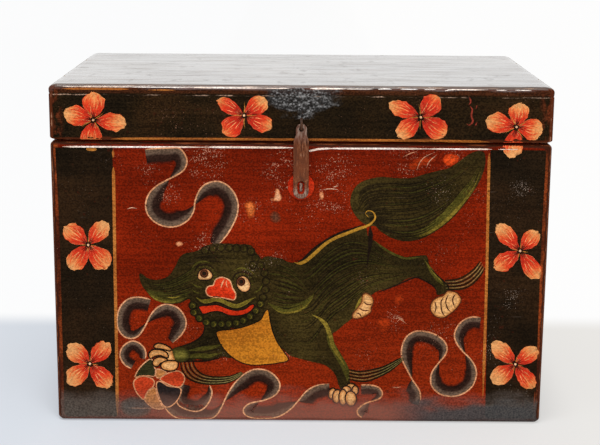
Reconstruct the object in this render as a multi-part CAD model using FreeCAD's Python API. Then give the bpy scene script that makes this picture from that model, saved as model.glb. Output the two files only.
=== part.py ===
"""Painted storage trunk: a dovetailed softwood box with a hinged cap lid and a forged iron hasp.

Millimetres. +Z is up, the front faces -Y, and the origin is the middle of the base.
"""
import FreeCAD, Part
import math
import os

from FreeCAD import Vector

# Outside sizes
trunk_width = 600.0
trunk_depth = 365.0
body_height = 352.0
lid_height = 67.4
joint_gap = 0.6

# Boards
wall_thickness = 16.0
bottom_thickness = 12.0
lid_top_thickness = 12.0
bottom_rebate = 8.0
plank_play = 0.2
bottom_plank_names = ("front", "middle", "back")
lid_front_plank_width = 170.0

# Edges rounded by hand and by wear
corner_radius = 6.0
body_foot_radius = 5.0
body_rim_radius = 6.0
lid_rim_radius = 3.5
lid_top_radius = 6.0

# Dovetails: tails on the front and back boards, pins on the sides
body_tail_count = 5
lid_tail_count = 2
tail_width_share = 0.5
tail_flare = 3.0

# Bamboo pegs
peg_radius = 2.2
peg_bite = 20.0
peg_recess = 0.5
peg_play = 0.05
peg_end_margin = 40.0
long_peg_count = 5

# Hinges on the back
hinge_spacing = 340.0
hinge_axis_offset = 5.0
leaf_width = 44.0
leaf_length = 48.0
leaf_thickness = 2.0
knuckle_radius = 4.5
knuckle_gap = 0.4
knuckle_count = 3
knuckle_notch_clearance = 1.0
hinge_pin_radius = 2.4
hinge_pin_play = 0.05
hinge_pin_head_radius = 3.4
hinge_pin_head_length = 1.2
hinge_pin_head_gap = 0.3

# Nails of the hinge leaves
nail_radius = 1.4
nail_length = 15.0
nail_head_radius = 3.6
nail_head_crown_radius = 1.6
nail_head_height = 1.5
nail_play = 0.05
nail_side_offset = 13.0
nail_near_offset = 13.0
nail_far_offset = 37.0

# Split pins: the one that hangs the hasp, above the lid's lower edge, and the lock staple
hanger_rise = 22.4
hanger_ring_inner = 4.5
hanger_ring_outer = 7.5
staple_drop_below_bend = 11.0
staple_ring_inner = 2.8
staple_ring_outer = 5.2
split_pin_width = 3.0
split_pin_leg = 1.5
split_pin_slit = 0.4
split_pin_clinch = 12.0
split_pin_play = 0.2

# Round plate under the lock staple
lock_plate_radius = 16.0
lock_plate_thickness = 1.0

# Hasp strap, measured down from the middle of the hanger's ring
hasp_width = 18.5
hasp_thickness = 2.5
hasp_eye_radius = 6.5
hasp_eye_bore = 2.6
hasp_neck_drop = 13.0
hasp_shoulder_drop = 21.0
hasp_bend_drop = 65.0
hasp_tongue_length = 26.0
hasp_bend_angle = 30.0
hasp_lean_angle = 3.0
hasp_slot_width = 8.5
hasp_slot_top = 4.5
hasp_slot_bottom = 20.5

# How far a cutting tool runs past the face that it cuts
overrun = 5.0

# Places worked out from the sizes above
half_width = trunk_width / 2
half_depth = trunk_depth / 2
inner_half_width = half_width - wall_thickness
inner_half_depth = half_depth - wall_thickness
lid_bottom = body_height + joint_gap
lid_rail_top = lid_bottom + lid_height - lid_top_thickness
lid_top = lid_bottom + lid_height
hinge_axis_y = half_depth + hinge_axis_offset
hinge_axis_z = body_height + joint_gap / 2
hanger_height = lid_bottom + hanger_rise
hasp_bend_height = hanger_height - hasp_bend_drop * math.cos(math.radians(hasp_lean_angle))
staple_height = hasp_bend_height - staple_drop_below_bend
split_pin_hole_radius = math.hypot(split_pin_width / 2, split_pin_leg) + split_pin_play

X_AXIS = Vector(1, 0, 0)
Y_AXIS = Vector(0, 1, 0)
Z_AXIS = Vector(0, 0, 1)


def block(x_low, x_high, y_low, y_high, z_low, z_high):
    """Box between two corners."""
    return Part.makeBox(x_high - x_low, y_high - y_low, z_high - z_low, Vector(x_low, y_low, z_low))


def rod(radius, start, end):
    """Cylinder from one point to another."""
    along = end - start
    return Part.makeCylinder(radius, along.Length, start, along)


def prism(points, along):
    """Straight-sided solid from a polygon's corners."""
    return Part.Face(Part.makePolygon(points + points[:1])).extrude(along)


def fused(shapes):
    """One solid from pieces that touch or overlap."""
    return shapes[0].multiFuse(shapes[1:]).removeSplitter()


def spaced(low, high, count):
    """Evenly spaced places from low to high."""
    return [low + (high - low) * i / (count - 1) for i in range(count)]


# Rounded outlines that the assembled body and lid are worn to


def rounded_face(place, u_half, v_low, v_high, low_radius, high_radius):
    """Rectangle with rounded corners. place turns the flat (u, v) into a point in space."""
    corners = (
        (u_half, v_low, 1, -1, low_radius),
        (u_half, v_high, 1, 1, high_radius),
        (-u_half, v_high, -1, 1, high_radius),
        (-u_half, v_low, -1, -1, low_radius),
    )
    diagonal = math.sqrt(0.5)
    arcs = []
    for u, v, u_side, v_side, radius in corners:
        cu, cv = u - u_side * radius, v - v_side * radius
        side_point = place(u, cv)
        level_point = place(cu, v)
        middle = place(cu + u_side * radius * diagonal, cv + v_side * radius * diagonal)
        turns_up = u_side == v_side
        first, last = (side_point, level_point) if turns_up else (level_point, side_point)
        arcs.append((first, middle, last))
    edges = []
    for i, (first, middle, last) in enumerate(arcs):
        edges.append(Part.Arc(first, middle, last).toShape())
        edges.append(Part.LineSegment(last, arcs[(i + 1) % len(arcs)][0]).toShape())
    return Part.Face(Part.Wire(edges))


def worn_outline(z_low, z_high, low_radius, high_radius):
    """Solid of a closed box whose outer edges are rounded."""
    plan = rounded_face(
        lambda u, v: Vector(u, v, z_low), half_width, -half_depth, half_depth, corner_radius, corner_radius
    ).extrude(Z_AXIS * (z_high - z_low))
    front = rounded_face(
        lambda u, v: Vector(u, -half_depth, v), half_width, z_low, z_high, low_radius, high_radius
    ).extrude(Y_AXIS * trunk_depth)
    side = rounded_face(
        lambda u, v: Vector(-half_width, u, v), half_depth, z_low, z_high, low_radius, high_radius
    ).extrude(X_AXIS * trunk_width)
    return plan.common(front).common(side)


body_outline = worn_outline(0, body_height, body_foot_radius, body_rim_radius)
lid_outline = worn_outline(lid_bottom, lid_top, lid_rim_radius, lid_top_radius)


# Dovetailed frames, shared by the body and the lid


def tails(y_side, z_low, z_high, count):
    """The tails at both ends of the front (-1) or back (1) board. They run past the outside faces."""
    pitch = (z_high - z_low) / count
    base_half = pitch * tail_width_share / 2
    slope = tail_flare / wall_thickness
    tip_half = base_half + slope * (wall_thickness + overrun)
    y_inner = y_side * inner_half_depth
    outward = Y_AXIS * (y_side * (wall_thickness + overrun))
    shapes = []
    for x_side in (-1, 1):
        x_inner = x_side * inner_half_width
        x_outer = x_side * (half_width + overrun)
        for i in range(count):
            z = z_low + pitch * i + pitch / 2
            corners = [
                Vector(x_inner, y_inner, z - base_half),
                Vector(x_outer, y_inner, z - tip_half),
                Vector(x_outer, y_inner, z + tip_half),
                Vector(x_inner, y_inner, z + base_half),
            ]
            shapes.append(prism(corners, outward))
    return shapes


def long_board(y_side, z_low, z_high, count, outline):
    """Front or back board: a plate between the sides, with tails that reach through them."""
    y_inner = y_side * inner_half_depth
    y_outer = y_side * (half_depth + overrun)
    plate = block(
        -inner_half_width, inner_half_width, min(y_inner, y_outer), max(y_inner, y_outer), z_low, z_high
    )
    return fused([plate] + tails(y_side, z_low, z_high, count)).common(outline)


def side_board(x_side, z_low, z_high, count, outline):
    """Left or right board: a plate over the full depth, cut away for the tails."""
    x_inner = x_side * inner_half_width
    x_outer = x_side * (half_width + overrun)
    plate = block(
        min(x_inner, x_outer), max(x_inner, x_outer), -half_depth, half_depth, z_low, z_high
    )
    for y_side in (-1, 1):
        for tail in tails(y_side, z_low, z_high, count):
            plate = plate.cut(tail)
    return plate.common(outline)


def split_pin_hole(z):
    """Hole through the front wall for a split pin's legs."""
    start = Vector(0, -half_depth - overrun, z)
    end = Vector(0, -inner_half_depth + overrun, z)
    return rod(split_pin_hole_radius, start, end)


# Pegs and nails: each place is used for the fastener and for its hole


def bottom_peg_places():
    """Where pegs come up through the bottom planks into the walls."""
    y_row = inner_half_depth + bottom_rebate / 2
    x_row = inner_half_width + bottom_rebate / 2
    plank_width = 2 * (inner_half_depth + bottom_rebate) / len(bottom_plank_names)
    first_y = -(inner_half_depth + bottom_rebate) + plank_width / 2
    x_end = half_width - peg_end_margin
    places = [(x, y) for x in spaced(-x_end, x_end, long_peg_count) for y in (-y_row, y_row)]
    plank_middles = [first_y + plank_width * i for i in range(len(bottom_plank_names))]
    places += [(x, y) for x in (-x_row, x_row) for y in plank_middles]
    return places


def lid_peg_places():
    """Where pegs go down through the lid's top planks into the rails."""
    y_row = half_depth - wall_thickness / 2
    x_row = half_width - wall_thickness / 2
    x_end = half_width - peg_end_margin
    places = [(x, y) for x in spaced(-x_end, x_end, long_peg_count) for y in (-y_row, y_row)]
    seam_y = -half_depth + lid_front_plank_width
    plank_middles = ((-half_depth + seam_y) / 2, (seam_y + half_depth) / 2)
    places += [(x, y) for x in (-x_row, x_row) for y in plank_middles]
    return places


def bottom_pegs(radius, z_low):
    """Pegs of the bottom, or their holes."""
    z_high = bottom_thickness + peg_bite
    return [rod(radius, Vector(x, y, z_low), Vector(x, y, z_high)) for x, y in bottom_peg_places()]


def lid_pegs(radius, z_high):
    """Pegs of the lid's top, or their holes."""
    z_low = lid_rail_top - peg_bite
    return [rod(radius, Vector(x, y, z_low), Vector(x, y, z_high)) for x, y in lid_peg_places()]


bottom_peg_holes = bottom_pegs(peg_radius + peg_play, -overrun)
lid_peg_holes = lid_pegs(peg_radius + peg_play, lid_top + overrun)


def hinge_nail_places(up):
    """Nails of one leaf (up is 1 on the lid, -1 on the body), for both hinges."""
    places = []
    for x_middle in (-hinge_spacing / 2, hinge_spacing / 2):
        for side in (-1, 1):
            places.append((x_middle + side * nail_side_offset, hinge_axis_z + up * nail_near_offset))
        places.append((x_middle, hinge_axis_z + up * nail_far_offset))
    return places


def nail_shank(x, z, radius):
    """Shank of a nail driven in from the leaf's outer face, or its hole."""
    outer = half_depth + leaf_thickness
    return rod(radius, Vector(x, outer, z), Vector(x, outer - nail_length, z))


def hinge_nails(up):
    """Forged nails with low conical heads."""
    nails = []
    for x, z in hinge_nail_places(up):
        seat = Vector(x, half_depth + leaf_thickness, z)
        head = Part.makeCone(nail_head_radius, nail_head_crown_radius, nail_head_height, seat, Y_AXIS)
        nails.append(fused([nail_shank(x, z, nail_radius), head]))
    return nails


def hinge_nail_holes(up):
    """Holes for one row of hinge nails, through the leaf and into the wood."""
    return [nail_shank(x, z, nail_radius + nail_play) for x, z in hinge_nail_places(up)]


# Body


def body_boards():
    """Four dovetailed walls, rebated round the foot for the bottom planks."""
    reach_x = inner_half_width + bottom_rebate
    reach_y = inner_half_depth + bottom_rebate
    recess = block(-reach_x, reach_x, -reach_y, reach_y, -overrun, bottom_thickness)
    frame = (0, body_height, body_tail_count, body_outline)
    front = long_board(-1, *frame).cut(split_pin_hole(staple_height))
    back = long_board(1, *frame)
    for hole in hinge_nail_holes(-1):
        back = back.cut(hole)
    boards = {
        "front_board": front,
        "back_board": back,
        "left_board": side_board(-1, *frame),
        "right_board": side_board(1, *frame),
    }
    return {name: board.cut(recess).cut(bottom_peg_holes) for name, board in boards.items()}


def bottom_planks():
    """Planks laid side by side in the rebate, flush with the foot of the walls."""
    reach_x = inner_half_width + bottom_rebate - plank_play
    reach_y = inner_half_depth + bottom_rebate
    width = 2 * reach_y / len(bottom_plank_names)
    planks = {}
    for i, name in enumerate(bottom_plank_names):
        y_low = -reach_y + width * i
        plank = block(
            -reach_x, reach_x, y_low + plank_play, y_low + width - plank_play, 0, bottom_thickness
        )
        planks["bottom_" + name + "_plank"] = plank.cut(bottom_peg_holes)
    return planks


# Lid


def lid_rails():
    """Four dovetailed rails of the cap lid."""
    frame = (lid_bottom, lid_rail_top, lid_tail_count, lid_outline)
    front = long_board(-1, *frame).cut(split_pin_hole(hanger_height))
    back = long_board(1, *frame)
    for hole in hinge_nail_holes(1):
        back = back.cut(hole)
    rails = {
        "lid_front_rail": front,
        "lid_back_rail": back,
        "lid_left_rail": side_board(-1, *frame),
        "lid_right_rail": side_board(1, *frame),
    }
    return {name: rail.cut(lid_peg_holes) for name, rail in rails.items()}


def lid_planks():
    """Two planks laid over the rails, with the seam along the lid's length."""
    seam_y = -half_depth + lid_front_plank_width
    spans = {"lid_top_front_plank": (-half_depth, seam_y), "lid_top_back_plank": (seam_y, half_depth)}
    planks = {}
    for name, (y_low, y_high) in spans.items():
        plank = block(-half_width, half_width, y_low, y_high, lid_rail_top, lid_top)
        planks[name] = plank.common(lid_outline).cut(lid_peg_holes)
    return planks


# Hinges


def knuckle_spans():
    """X ranges of the knuckles of a hinge, from its middle."""
    length = (leaf_width - (knuckle_count - 1) * knuckle_gap) / knuckle_count
    starts = [-leaf_width / 2 + i * (length + knuckle_gap) for i in range(knuckle_count)]
    return [(start, start + length) for start in starts]


def hinge_leaf(x_middle, up):
    """One forged leaf with a round end. up is 1 on the lid and -1 on the body; knuckles alternate."""
    half = leaf_width / 2
    root = hinge_axis_z + up * (knuckle_radius + knuckle_notch_clearance)
    shoulder = hinge_axis_z + up * (leaf_length - half)
    tip = hinge_axis_z + up * leaf_length

    def on_back(x, z):
        return Vector(x_middle + x, half_depth, z)

    outline = [
        Part.LineSegment(on_back(-half, root), on_back(-half, shoulder)).toShape(),
        Part.Arc(on_back(-half, shoulder), on_back(0, tip), on_back(half, shoulder)).toShape(),
        Part.LineSegment(on_back(half, shoulder), on_back(half, root)).toShape(),
        Part.LineSegment(on_back(half, root), on_back(-half, root)).toShape(),
    ]
    shapes = [Part.Face(Part.Wire(outline)).extrude(Y_AXIS * leaf_thickness)]
    spans = knuckle_spans()
    own_spans = spans[1::2] if up > 0 else spans[0::2]
    for x_low, x_high in own_spans:
        start = Vector(x_middle + x_low, hinge_axis_y, hinge_axis_z)
        end = Vector(x_middle + x_high, hinge_axis_y, hinge_axis_z)
        shapes.append(rod(knuckle_radius, start, end))
        neck_low, neck_high = min(hinge_axis_z, root), max(hinge_axis_z, root)
        shapes.append(
            block(start.x, end.x, half_depth, half_depth + leaf_thickness, neck_low, neck_high)
        )
    leaf = fused(shapes)
    bore_start = Vector(x_middle - half - overrun, hinge_axis_y, hinge_axis_z)
    bore_end = Vector(x_middle + half + overrun, hinge_axis_y, hinge_axis_z)
    leaf = leaf.cut(rod(hinge_pin_radius + hinge_pin_play, bore_start, bore_end))
    for hole in hinge_nail_holes(up):
        leaf = leaf.cut(hole)
    return leaf


def hinge_pin(x_middle):
    """Pin with both ends hammered over."""
    reach = leaf_width / 2 + hinge_pin_head_gap

    def on_axis(x):
        return Vector(x_middle + x, hinge_axis_y, hinge_axis_z)

    shapes = [rod(hinge_pin_radius, on_axis(-reach), on_axis(reach))]
    for side in (-1, 1):
        end = side * (reach + hinge_pin_head_length)
        shapes.append(rod(hinge_pin_head_radius, on_axis(side * reach), on_axis(end)))
    return fused(shapes)


def hinges():
    """Both hinges: a leaf on the body, a leaf on the lid and a pin each."""
    pieces = {}
    for name, side in (("left", -1), ("right", 1)):
        x_middle = side * hinge_spacing / 2
        pieces[name + "_hinge_body_leaf"] = hinge_leaf(x_middle, -1)
        pieces[name + "_hinge_lid_leaf"] = hinge_leaf(x_middle, 1)
        pieces[name + "_hinge_pin"] = hinge_pin(x_middle)
    return pieces


# Hasp and lock staple


def split_pin(y_middle, z_middle, inner, outer):
    """Strip bent into an eye, with two legs through the front wall that are clinched over inside."""
    half = split_pin_width / 2
    left, right = Vector(-half, y_middle, z_middle), Vector(half, y_middle, z_middle)
    leg_start = y_middle + (inner + outer) / 2
    inside = -inner_half_depth
    legs = block(
        -half, half, leg_start, inside, z_middle - split_pin_leg, z_middle + split_pin_leg
    )
    clinch = block(
        -half, half, inside, inside + split_pin_leg,
        z_middle - split_pin_clinch, z_middle + split_pin_clinch,
    )
    pin = fused([rod(outer, left, right), legs, clinch]).cut(rod(inner, left, right))
    slit_half = split_pin_slit / 2
    slit = block(
        -overrun, overrun, y_middle + outer, inside + overrun,
        z_middle - slit_half, z_middle + slit_half,
    )
    return pin.cut(slit)


def hasp_plate(outline):
    """Strap outline, given as edges in the XZ plane, made hasp_thickness thick about that plane."""
    face = Part.Face(Part.Wire(outline))
    face.translate(Y_AXIS * (-hasp_thickness / 2))
    return face.extrude(Y_AXIS * hasp_thickness)


def hasp_shank():
    """Upper part of the strap: an eye, a neck and a straight shank down to the bend."""
    eye_drop = (hanger_ring_inner + hanger_ring_outer) / 2
    half = hasp_width / 2

    def flat(x, drop):
        return Vector(x, 0, -drop)

    eye = hasp_eye_radius
    corners = [
        flat(eye, eye_drop), flat(eye, hasp_neck_drop), flat(half, hasp_shoulder_drop),
        flat(half, hasp_bend_drop), flat(-half, hasp_bend_drop),
        flat(-half, hasp_shoulder_drop), flat(-eye, hasp_neck_drop), flat(-eye, eye_drop),
    ]
    outline = [Part.LineSegment(a, b).toShape() for a, b in zip(corners, corners[1:])]
    outline.append(Part.Arc(corners[-1], flat(0, eye_drop - eye), corners[0]).toShape())
    bore = rod(hasp_eye_bore, Vector(0, -overrun, -eye_drop), Vector(0, overrun, -eye_drop))
    return hasp_plate(outline).cut(bore)


def hasp_tongue():
    """Lower end of the strap, bent outwards, with the slot that drops over the staple."""
    half = hasp_width / 2
    slot_half = hasp_slot_width / 2

    def flat(x, drop):
        return Vector(x, 0, -drop)

    straight = hasp_tongue_length - half
    outline = [
        Part.LineSegment(flat(-half, straight), flat(-half, 0)).toShape(),
        Part.LineSegment(flat(-half, 0), flat(half, 0)).toShape(),
        Part.LineSegment(flat(half, 0), flat(half, straight)).toShape(),
        Part.Arc(flat(half, straight), flat(0, hasp_tongue_length), flat(-half, straight)).toShape(),
    ]
    slot_ends = [
        rod(slot_half, Vector(0, -overrun, -drop), Vector(0, overrun, -drop))
        for drop in (hasp_slot_top + slot_half, hasp_slot_bottom - slot_half)
    ]
    slot_middle = block(
        -slot_half, slot_half, -overrun, overrun,
        -hasp_slot_bottom + slot_half, -hasp_slot_top - slot_half,
    )
    tongue = hasp_plate(outline)
    for cutter in slot_ends + [slot_middle]:
        tongue = tongue.cut(cutter)
    tongue.rotate(Vector(0, 0, 0), X_AXIS, -hasp_bend_angle)
    tongue.translate(Vector(0, 0, -hasp_bend_drop))
    return tongue


def hasp_strap():
    """Strap that hangs from the hanger's ring and leans in against the lock plate."""
    half = hasp_width / 2
    bend = rod(hasp_thickness / 2, Vector(-half, 0, -hasp_bend_drop), Vector(half, 0, -hasp_bend_drop))
    strap = fused([hasp_shank(), bend, hasp_tongue()])
    strap.rotate(Vector(0, 0, 0), X_AXIS, hasp_lean_angle)
    strap.translate(Vector(0, -half_depth - hanger_ring_outer, hanger_height))
    return strap


def lock_plate():
    """Thin round plate between the staple's eye and the front board."""
    back = Vector(0, -half_depth, staple_height)
    front = Vector(0, -half_depth - lock_plate_thickness, staple_height)
    return rod(lock_plate_radius, back, front).cut(split_pin_hole(staple_height))


def front_iron():
    """Hasp, the pin that hangs it, the lock staple and its plate."""
    staple_y = -half_depth - lock_plate_thickness - staple_ring_outer
    return {
        "hasp_strap": hasp_strap(),
        "hasp_hanger_pin": split_pin(
            -half_depth - hanger_ring_outer, hanger_height, hanger_ring_inner, hanger_ring_outer
        ),
        "lock_staple": split_pin(staple_y, staple_height, staple_ring_inner, staple_ring_outer),
        "lock_plate": lock_plate(),
    }


def main():
    """Builds every piece and writes one file for each node."""
    pieces = {}
    pieces.update(body_boards())
    pieces.update(bottom_planks())
    pieces["bottom_pegs"] = Part.makeCompound(bottom_pegs(peg_radius, peg_recess))
    pieces.update(lid_rails())
    pieces.update(lid_planks())
    pieces["lid_pegs"] = Part.makeCompound(lid_pegs(peg_radius, lid_top - peg_recess))
    pieces.update(hinges())
    pieces["hinge_body_nails"] = Part.makeCompound(hinge_nails(-1))
    pieces["hinge_lid_nails"] = Part.makeCompound(hinge_nails(1))
    pieces.update(front_iron())
    os.makedirs("parts", exist_ok=True)
    for name, shape in pieces.items():
        shape.exportStep("parts/" + name + ".step")
        print(name, len(shape.Solids), "solids", round(shape.Volume, 1), "mm3", shape.isValid())


main()
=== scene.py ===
# %% [markdown]
# # A painted storage trunk
#
# The real trunk is a dovetailed softwood box with a cap lid and an iron hasp. It is lacquered red and
# nearly black, and its front is painted freehand with a lion, a ball, floating ribbons and four-petalled
# blossoms. The CAD model gives the exact boards and ironwork. This lesson dresses them with worn edges,
# layers of brushed paint and rusty iron. Everything is in metres: x runs to the right, the front faces -y,
# and z is up.

import math
from collections import namedtuple

import bmesh
import bpy
import numpy as np
from mathutils import Matrix, Vector, noise
from mathutils.geometry import delaunay_2d_cdt


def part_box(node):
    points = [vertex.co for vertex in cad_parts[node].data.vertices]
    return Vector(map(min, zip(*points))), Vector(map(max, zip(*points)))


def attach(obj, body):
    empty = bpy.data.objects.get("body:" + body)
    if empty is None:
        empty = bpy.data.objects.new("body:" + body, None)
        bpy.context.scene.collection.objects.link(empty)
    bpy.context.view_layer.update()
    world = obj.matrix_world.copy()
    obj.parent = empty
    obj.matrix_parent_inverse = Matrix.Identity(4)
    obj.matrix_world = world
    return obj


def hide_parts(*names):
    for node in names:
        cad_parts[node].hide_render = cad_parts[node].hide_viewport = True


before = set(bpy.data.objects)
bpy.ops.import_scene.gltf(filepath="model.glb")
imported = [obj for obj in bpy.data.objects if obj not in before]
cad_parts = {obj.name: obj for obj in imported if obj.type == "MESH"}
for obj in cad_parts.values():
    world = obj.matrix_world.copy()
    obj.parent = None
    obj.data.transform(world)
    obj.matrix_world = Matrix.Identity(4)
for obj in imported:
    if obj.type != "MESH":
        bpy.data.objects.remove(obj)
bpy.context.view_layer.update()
MM = 0.001

# %% [markdown]
# ## The camera
#
# The photograph was taken from a little above the lid with a long lens. Place and angles were fitted to the
# eight visible corners of the trunk. The axes of the view are kept as vectors, because they later send a
# pixel of the photograph back to the trunk's front.

# %% Camera
photo_width, photo_height = 600, 445
focal_pixels = 1405.5
camera_place = Vector((-0.0049, -1.8360, 0.6251))
yaw, pitch, roll = (math.radians(a) for a in (0.142, 12.634, 0.459))

sight = Vector((math.sin(yaw) * math.cos(pitch), math.cos(yaw) * math.cos(pitch), -math.sin(pitch)))
level = Vector((math.cos(yaw), -math.sin(yaw), 0.0))
upright = level.cross(sight)
to_right = level * math.cos(roll) + upright * math.sin(roll)
to_top = upright * math.cos(roll) - level * math.sin(roll)

lens = bpy.data.cameras.new("photo_camera")
lens.sensor_width = 36.0
lens.lens = focal_pixels / photo_width * lens.sensor_width
camera = bpy.data.objects.new("photo_camera", lens)
camera.matrix_world = Matrix((to_right, to_top, -sight)).transposed().to_4x4()
camera.location = camera_place
scene = bpy.context.scene
scene.collection.objects.link(camera)
scene.camera = camera
scene.view_settings.view_transform = "Standard"
print("lens", round(lens.lens, 1), "mm at", tuple(round(c, 3) for c in camera_place))

# %% [markdown]
# ## Building node trees without a mouse
#
# Materials are node trees. Drawn by hand in the editor they could not be read as text, so one helper adds a
# node and fills or links its inputs, and four short ones stand for the commonest sums.

# %% Adding nodes and sums
def add_node(tree, kind, inputs=None, **settings):
    made = tree.nodes.new(kind)
    for name, value in settings.items():
        setattr(made, name, value)
    for key, value in (inputs or {}).items():
        if isinstance(value, bpy.types.NodeSocket):
            tree.links.new(value, made.inputs[key])
        else:
            made.inputs[key].default_value = value
    return made


def calc(tree, operation, *values):
    return add_node(tree, "ShaderNodeMath", dict(enumerate(values)), operation=operation).outputs[0]


def times(tree, a, b):
    return calc(tree, "MULTIPLY", a, b)


def plus(tree, a, b):
    return calc(tree, "ADD", a, b)


def minus(tree, a, b):
    return calc(tree, "SUBTRACT", a, b)


def larger(tree, a, b):
    return calc(tree, "MAXIMUM", a, b)


print("sums:", [helper.__name__ for helper in (times, plus, minus, larger)])

# %% [markdown]
# ## Masks, mixes and noise
#
# Age shows as patches with soft limits: a noise gives the pattern, a soft threshold makes it a mask, and a
# mix lays the colour. Object coordinates keep the pattern on a piece that moves. Colours are written as
# 0-255 values and turned into linear light.

# %% Masks, mixes and noise
def soft_step(tree, value, low, high, at_low=0.0, at_high=1.0):
    inputs = {0: value, 1: low, 2: high, 3: at_low, 4: at_high}
    return add_node(tree, "ShaderNodeMapRange", inputs, interpolation_type="SMOOTHSTEP").outputs[0]


def mix_colour(tree, share, a, b, mode="MIX"):
    return add_node(tree, "ShaderNodeMix", {0: share, 6: a, 7: b}, data_type="RGBA", blend_type=mode).outputs[2]


def object_place(tree):
    return add_node(tree, "ShaderNodeTexCoord").outputs["Object"]


def place_xyz(tree):
    return add_node(tree, "ShaderNodeSeparateXYZ", {0: object_place(tree)}).outputs


def speckle(tree, place, scale, stretch=(1, 1, 1), detail=3.0, shift=0.0):
    at = add_node(tree, "ShaderNodeMapping", {"Vector": place, "Scale": stretch, "Location": (shift, shift, shift)})
    return add_node(tree, "ShaderNodeTexNoise",
                    {"Vector": at.outputs[0], "Scale": scale, "Detail": detail}).outputs[0]


def pigment(red, green, blue):
    shares = (red / 255, green / 255, blue / 255)
    linear = [c / 12.92 if c < 0.04045 else ((c + 0.055) / 1.055) ** 2.4 for c in shares]
    return (*linear, 1.0)


print("red lacquer in linear light:", [round(c, 3) for c in pigment(120, 37, 15)])

# %% [markdown]
# ## Soft lamps
#
# A small bright lamp above the lid lights the rounded rims, whose thin white line is also a painted highlight, and a
# large weak one near the camera lights the painting. A sun would be simpler, but its shadows are too hard.

# %% Lamps
def lamp(name, place, target, size, watts):
    light = bpy.data.lights.new(name, "AREA")
    light.shape, light.size, light.size_y = "RECTANGLE", *size
    light.energy = watts
    made = bpy.data.objects.new(name, light)
    made.rotation_euler = (Vector(target) - Vector(place)).to_track_quat("-Z", "Y").to_euler()
    made.location = place
    scene.collection.objects.link(made)


lamp("lamp_above", (-0.18, -0.75, 2.1), (0, -0.1, 0.3), (1.0, 0.4), 18)
lamp("lamp_front", (0.3, -2.7, 1.5), (0, -0.1, 0.2), (1.8, 1.3), 27)

# %% [markdown]
# ## A white room
#
# Everything around the trunk is white. A modelled backdrop would hide it from behind, so the world is white:
# bright where the camera or a glossy surface sees it, and dimmer as a light, which keeps the shadows.

# %% World
def seen_directly(tree):
    path = tree.nodes.new("ShaderNodeLightPath").outputs
    return larger(tree, path["Is Camera Ray"], larger(tree, path["Is Glossy Ray"], path["Is Transmission Ray"]))


world = bpy.data.worlds.new("white_room")
world.use_nodes = True
scene.world = world
tree = world.node_tree
tree.nodes.clear()
dim = add_node(tree, "ShaderNodeBackground", {"Color": (0.97, 0.98, 1, 1), "Strength": 0.45})
bright = add_node(tree, "ShaderNodeBackground", {"Color": (1, 1, 1, 1), "Strength": 1.0})
both = add_node(tree, "ShaderNodeMixShader", {0: seen_directly(tree), 1: dim.outputs[0], 2: bright.outputs[0]})
add_node(tree, "ShaderNodeOutputWorld", {0: both.outputs[0]})
print("world:", world.name, "with", len(tree.nodes), "nodes")

# %% [markdown]
# ## A floor for the shadow
#
# The trunk needs something for its shadow to fall on. One large square is enough, a hair below the boards
# so that the two surfaces never flicker.

# %% Floor
reach, floor_gap = 40.0, 0.2 * MM
floor_corners = [(-reach, -reach, 0), (reach, -reach, 0), (reach, reach, 0), (-reach, reach, 0)]
floor_mesh = bpy.data.meshes.new("floor")
floor_mesh.from_pydata(floor_corners, [], [(0, 1, 2, 3)])
floor = bpy.data.objects.new("floor", floor_mesh)
floor.location.z = -floor_gap
scene.collection.objects.link(floor)
print("floor:", 2 * reach, "m wide")

# %% [markdown]
# ## Pale paper
#
# The ground is pale, with painted light that makes it warmer and brighter at the right than at the left, and the
# shadow on it is soft. Lit paper alone turns too grey there, so for the camera it also glows a little, most beside the
# trunk. Behind the trunk it is nearly white, like the world.

# %% Floor paper
def new_material(name):
    material = bpy.data.materials.new(name)
    material.use_nodes = True
    material.node_tree.nodes.clear()
    return material, material.node_tree


floor_paper, tree = new_material("floor_paper")
x, y, z = place_xyz(tree)
behind = soft_step(tree, y, 0.21, 0.30, 0.0, 0.92)
rightward = soft_step(tree, x, -0.3, 0.45)
# Painted light: the paper is brighter and warmer towards the right.
lit = mix_colour(tree, rightward, (0.84, 0.88, 0.93, 1), (0.92, 0.91, 0.89, 1))
paper = add_node(tree, "ShaderNodeBsdfDiffuse", {"Color": lit})
shadow_tone = mix_colour(tree, rightward, (0.70, 0.74, 0.80, 1), (0.84, 0.82, 0.79, 1))
glow = add_node(tree, "ShaderNodeEmission", {"Color": shadow_tone})
white = add_node(tree, "ShaderNodeEmission", {"Color": (1, 1, 1, 1), "Strength": 1.0})
beside_trunk = soft_step(tree, calc(tree, "ABSOLUTE", x), 0.29, 0.37, 0.0, 0.3)
lift = plus(tree, soft_step(tree, x, -0.3, 0.4, 0.42, 0.6), beside_trunk)
lifted = times(tree, lift, seen_directly(tree))
lit_paper = add_node(tree, "ShaderNodeMixShader", {0: lifted, 1: paper.outputs[0], 2: glow.outputs[0]})
share = times(tree, behind, seen_directly(tree))
both = add_node(tree, "ShaderNodeMixShader", {0: share, 1: lit_paper.outputs[0], 2: white.outputs[0]})
add_node(tree, "ShaderNodeOutputMaterial", {0: both.outputs[0]})
floor_mesh.materials.append(floor_paper)
print("floor finish:", floor_paper.name)

# %% [markdown]
# ## From the photograph to the front
#
# The figures were painted freehand, so their places can only be read off the photograph. A pixel is a line
# of sight, and where it meets the plane of the front is a place in metres. All brush points below are
# pixels, so they can be checked by eye.

# %% Where a pixel of the photograph lies on the front
half_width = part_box("front_board")[1].x
front_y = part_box("front_board")[0].y
half_depth = -front_y


def on_front(across, down):
    ray = sight + to_right * ((across - photo_width / 2) / focal_pixels)
    ray += to_top * ((photo_height / 2 - down) / focal_pixels)
    hit = camera_place + ray * ((front_y - camera_place.y) / ray.y)
    return hit.x, hit.z


pixel = on_front(301, 250)[0] - on_front(300, 250)[0]
print("one pixel on the front is", round(pixel / MM, 2), "mm")

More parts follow.
